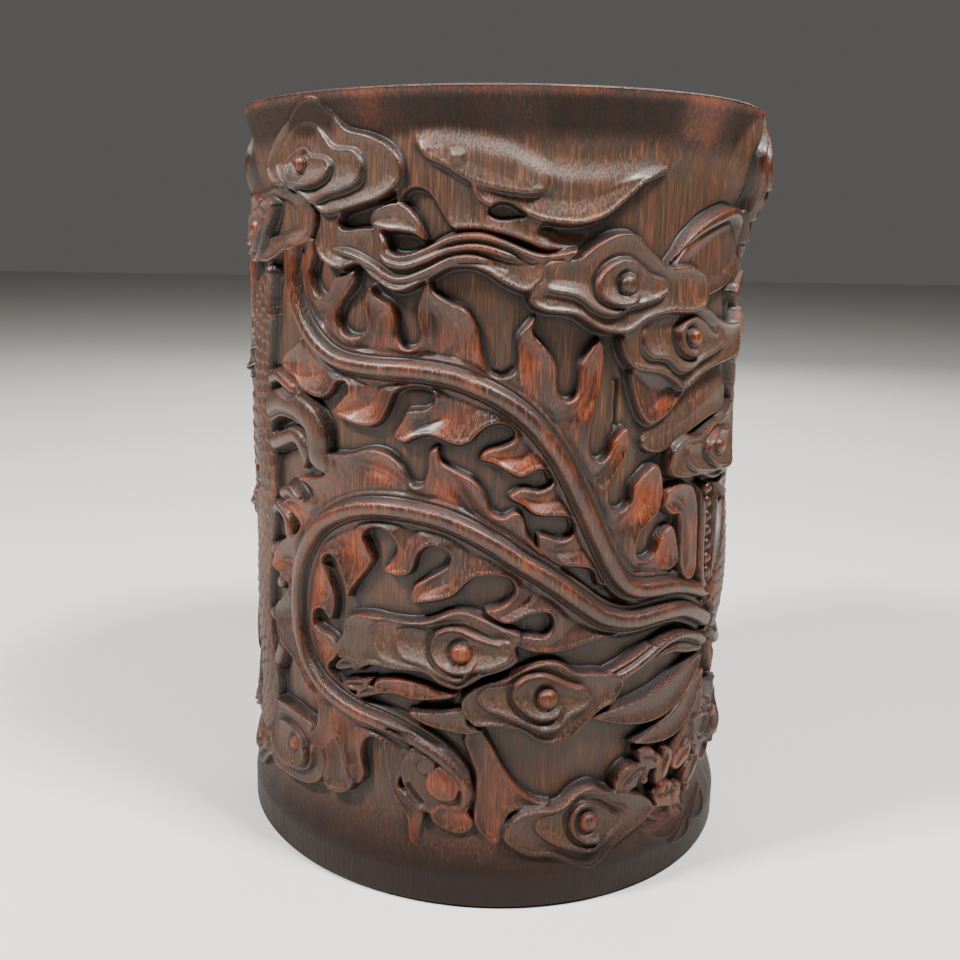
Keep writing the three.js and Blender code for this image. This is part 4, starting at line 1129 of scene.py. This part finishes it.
class BRUSHPOT_OT_carved_wall(bpy.types.Operator):
    """Carve the culm wall and build it in sectors with their whole section"""

    bl_idname = "brushpot.carved_wall"
    bl_label = "Carved wall"

    def execute(self, context):
        sizes, colours = context.scene.brush_pot_sizes, context.scene.brush_pot_colours
        relief = worked_relief(sizes.depth / MM)
        level = blurred(relief.level, 0.11)
        z = relief.heights * (sizes.height / MM) / DRAWN_HEIGHT
        radius = sizes.radius / MM + level
        outer = on_wall(relief.angles[None, :], radius, z[:, None])
        normals = grid_normals(outer)
        attributes = self.surface_values(relief, level)
        profile = inner_profile(sizes)
        inner = on_wall(relief.angles[None, :], profile[:, :1] + 0 * relief.angles[None, :], profile[:, 1:])
        around = np.vstack([outer[-1:], inner, outer[:1]])
        inner_normals = grid_normals(around)[1:-1]
        points = np.concatenate([outer, inner])
        normals = np.concatenate([normals, inner_normals])
        per_sector = COLUMNS // SECTORS
        material = waxed_bamboo(colours)
        for sector in range(SECTORS):
            columns = np.arange(sector * per_sector, (sector + 1) * per_sector + 1) % COLUMNS
            values = {key: np.vstack([value, np.repeat(rest[:, None], COLUMNS, 1)])[:, columns]
                      for key, (value, rest) in attributes.items()}
            made = mesh_object(f"carved_wall_{sector + 1}", points[:, columns].reshape(-1, 3),
                               grid_faces(len(points), len(columns), close_rows=True),
                               normals[:, columns], values)
            made.data.materials.append(material)
            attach(made, "root")
            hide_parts(WALL_NODE)
        return {"FINISHED"}

    @staticmethod
    def surface_values(relief, level):
        """Warmth, wax and painted shade, worn, and foot band and low shade on the carved face, each with its
        values on the rest of the section. The wax and painted shade is how far the surface lies below its
        surroundings, where old wax gathers and shade is painted, plus the painted shade along the creases and
        edges; worn is how far it stands above them. The foot band and low shade is the dark foot band and the
        rim's lacquer, with painted shade that darkens the wall towards the bottom."""
        near, wide = blurred(level, 0.6), blurred(level, 2.2)
        # Old wax and painted shade where the surface lies below its surroundings.
        below = smooth(0.15, 1.2, 1.3 * (near - level) + 0.4 * (wide - level))
        above = smooth(-0.15, 0.7, 0.8 * (level - near) + 0.35 * (level - wide))
        # Adds the painted shade lines along the creases and edges.
        wax_and_painted_shade = np.clip(0.95 * below + 0.95 * blurred(relief.painted_shade, 0.18), 0, 1)
        z = relief.heights[:, None]
        angle = relief.angles[None, :]
        foot = 1 - smooth(7, 24, z + 1.5 * np.sin(np.radians(angle * 3)))
        flat = smooth(0.12, 0.45, 1 + relief.blank / relief.depth)
        on_blank = 1 - smooth(0.2, 1.0, level - relief.blank)
        rim = flat * on_blank * (z > 80)
        patches = 0.5 + 0.5 * np.sin(np.radians(angle * 3.1 + 35)) * np.sin(np.radians(angle * 7.3 + 80))
        red = rim * smooth(0.6, 1.2, patches + 0.6 * np.exp(-((angle - 48) / 14) ** 2))
        edge = smooth(157.6, 159.2, z)
        # Painted shade: the wall is darker towards the bottom, where less light falls.
        low = 0.42 * (1 - smooth(15, 100, z))
        # Dark foot band and rim lacquer, with the painted shade towards the bottom.
        lacquer_and_low_shade = np.maximum(np.maximum(foot, low), 0.85 * rim * (1 - 0.8 * red))
        foot_band_and_low_shade = np.clip(lacquer_and_low_shade * (1 - 0.7 * edge), 0, 1)
        warm = np.clip(relief.warm + 0.6 * red + 0.3 * edge, 0, 1.3)
        rest = len(inner_profile(bpy.context.scene.brush_pot_sizes))
        lip = (np.arange(rest) < LIP_EDGE_POINTS + LIP_ROLL_POINTS).astype(float)
        # The bore and the underside get a fixed share of wax and painted shade.
        return {"warmth": (warm, 0.1 + 0.25 * lip), "wax_and_painted_shade": (wax_and_painted_shade, 0.35 * (1 - lip)),
                "worn": (above, 0.2 + 0.5 * lip), "foot_band_and_low_shade": (foot_band_and_low_shade, 0.55 - 0.25 * lip)}


class BRUSHPOT_OT_floor_disc(bpy.types.Operator):
    """Turn the floor disc, with a slightly dished top, faint turning rings and eased edges"""

    bl_idname = "brushpot.floor_disc"
    bl_label = "Floor disc"

    def execute(self, context):
        low, high = np.array(DISC_LOW) / MM, np.array(DISC_HIGH) / MM
        rim, ease = high[0], DISC_EASE
        innermost, rings_under, rings_over, columns = 0.05, 30, 60, 144
        turn = np.linspace(0, np.pi / 2, 5)
        bottom = np.column_stack([rim - ease + ease * np.sin(turn), low[2] + ease - ease * np.cos(turn)])
        top = np.column_stack([rim - ease + ease * np.cos(turn), high[2] - ease + ease * np.sin(turn)])
        out = np.linspace(innermost, 1, rings_under)
        under = np.column_stack([out * (rim - ease), np.full(rings_under, low[2])])[:-1]
        ring = np.linspace(1, innermost, rings_over)
        over = np.column_stack([ring * (rim - ease), high[2] - DISC_DISH * np.cos(np.pi / 2 * ring)
                                - RING_HEIGHT * (1 + np.cos(ring * RING_RATE))])[1:]
        profile = np.vstack([under, bottom, top, over])
        angles = np.linspace(-180, 180, columns, endpoint=False)
        points = on_wall(angles[None, :], profile[:, :1] + 0 * angles[None, :], profile[:, 1:]).reshape(-1, 3)
        quads = grid_faces(len(profile), columns, close_columns=True)
        poles = np.array([[0, 0, low[2]], [0, 0, profile[-1, 1]]]) * MM
        ring = np.arange(columns)
        foot, head = len(points), len(points) + 1
        last = (len(profile) - 1) * columns
        caps = np.vstack([np.column_stack([np.full(columns, foot), (ring + 1) % columns, ring]),
                          np.column_stack([np.full(columns, head), last + ring,
                                           last + (ring + 1) % columns])])
        made = mesh_object("floor_disc_turned", np.vstack([points, poles]), quads, triangles=caps)
        made.data.materials.append(oiled_floor_wood(context.scene.brush_pot_colours))
        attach(made, "root")
        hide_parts(DISC_NODE)
        return {"FINISHED"}


class BRUSHPOT_OT_pegs(bpy.types.Operator):
    """Give the pegs their split bamboo"""

    bl_idname = "brushpot.pegs"
    bl_label = "Pegs"

    def execute(self, context):
        material = split_bamboo()
        for name in PEG_NODES:
            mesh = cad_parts[name].data
            mesh.materials.clear()
            mesh.materials.append(material)
        return {"FINISHED"}


class BRUSHPOT_OT_stage(bpy.types.Operator):
    """Set the pale floor, the soft lights and the camera"""

    bl_idname = "brushpot.stage"
    bl_label = "Stage"

    def execute(self, context):
        scene = context.scene
        world = bpy.data.worlds.new("studio")
        world.use_nodes = True
        background = world.node_tree.nodes["Background"]
        background.inputs["Color"].default_value = linear("dcdad6")
        background.inputs["Strength"].default_value = WORLD_STRENGTH
        scene.world = world
        half = BACKDROP_HALF
        corners = np.array([[-half, -half, 0], [half, -half, 0], [half, half, 0], [-half, half, 0]])
        floor = mesh_object("pale_floor", corners, np.array([[0, 1, 2, 3]]))
        floor.data.materials.append(pale_paper())
        middle = Vector((0, 0, context.scene.brush_pot_sizes.height / 2))
        for name, place, size, power in LIGHTS:
            light = bpy.data.lights.new(name, "AREA")
            light.size, light.energy = size, power
            lamp = bpy.data.objects.new(name, light)
            lamp.location = place
            lamp.rotation_euler = (middle - Vector(place)).to_track_quat("-Z", "Y").to_euler()
            scene.collection.objects.link(lamp)
        scene.camera = self.camera(scene)
        return {"FINISHED"}

    @staticmethod
    def camera(scene):
        """A camera a quarter of a metre away, a little below the rim and looking slightly down."""
        pitch, roll, yaw = CAMERA_PITCH, CAMERA_ROLL, CAMERA_YAW
        forward = Vector((math.sin(yaw) * math.cos(pitch), math.cos(yaw) * math.cos(pitch), -math.sin(pitch)))
        right = forward.cross(Vector((0, 0, 1))).normalized()
        up = right.cross(forward)
        across = math.cos(roll) * right + math.sin(roll) * up
        upright = -math.sin(roll) * right + math.cos(roll) * up
        lens = bpy.data.cameras.new("camera")
        lens.sensor_width, lens.lens = SENSOR_WIDTH, FOCAL_LENGTH
        lens.shift_x, lens.shift_y = LENS_SHIFT
        lens.clip_start = 0.01
        made = bpy.data.objects.new("camera", lens)
        turn = Matrix((across, upright, -forward)).transposed().to_4x4()
        made.matrix_world = Matrix.Translation(CAMERA_PLACE) @ turn
        scene.collection.objects.link(made)
        return made


class BRUSHPOT_PT_panel(bpy.types.Panel):
    """Sizes, colours and the steps that build the pot"""

    bl_label = "Brush pot"
    bl_space_type = "VIEW_3D"
    bl_region_type = "UI"
    bl_category = "Brush Pot"

    def draw(self, context):
        for group in (context.scene.brush_pot_sizes, context.scene.brush_pot_colours):
            for key in group.__annotations__:
                self.layout.prop(group, key)
        for step in STEPS:
            self.layout.operator(step.bl_idname)


STEPS = (BRUSHPOT_OT_stage, BRUSHPOT_OT_carved_wall, BRUSHPOT_OT_floor_disc, BRUSHPOT_OT_pegs)
CLASSES = (BrushPotSizes, BrushPotColours, *STEPS, BRUSHPOT_PT_panel)


def register():
    """Registers the classes and hangs the settings on the scene."""
    for cls in CLASSES:
        bpy.utils.register_class(cls)
    bpy.types.Scene.brush_pot_sizes = bpy.props.PointerProperty(type=BrushPotSizes)
    bpy.types.Scene.brush_pot_colours = bpy.props.PointerProperty(type=BrushPotColours)


def unregister():
    """Takes the settings and the classes away again."""
    del bpy.types.Scene.brush_pot_sizes
    del bpy.types.Scene.brush_pot_colours
    for cls in reversed(CLASSES):
        bpy.utils.unregister_class(cls)


def main():
    register()
    bpy.ops.brushpot.stage()
    bpy.ops.brushpot.carved_wall()
    bpy.ops.brushpot.floor_disc()
    bpy.ops.brushpot.pegs()


if __name__ == "__main__":
    main()
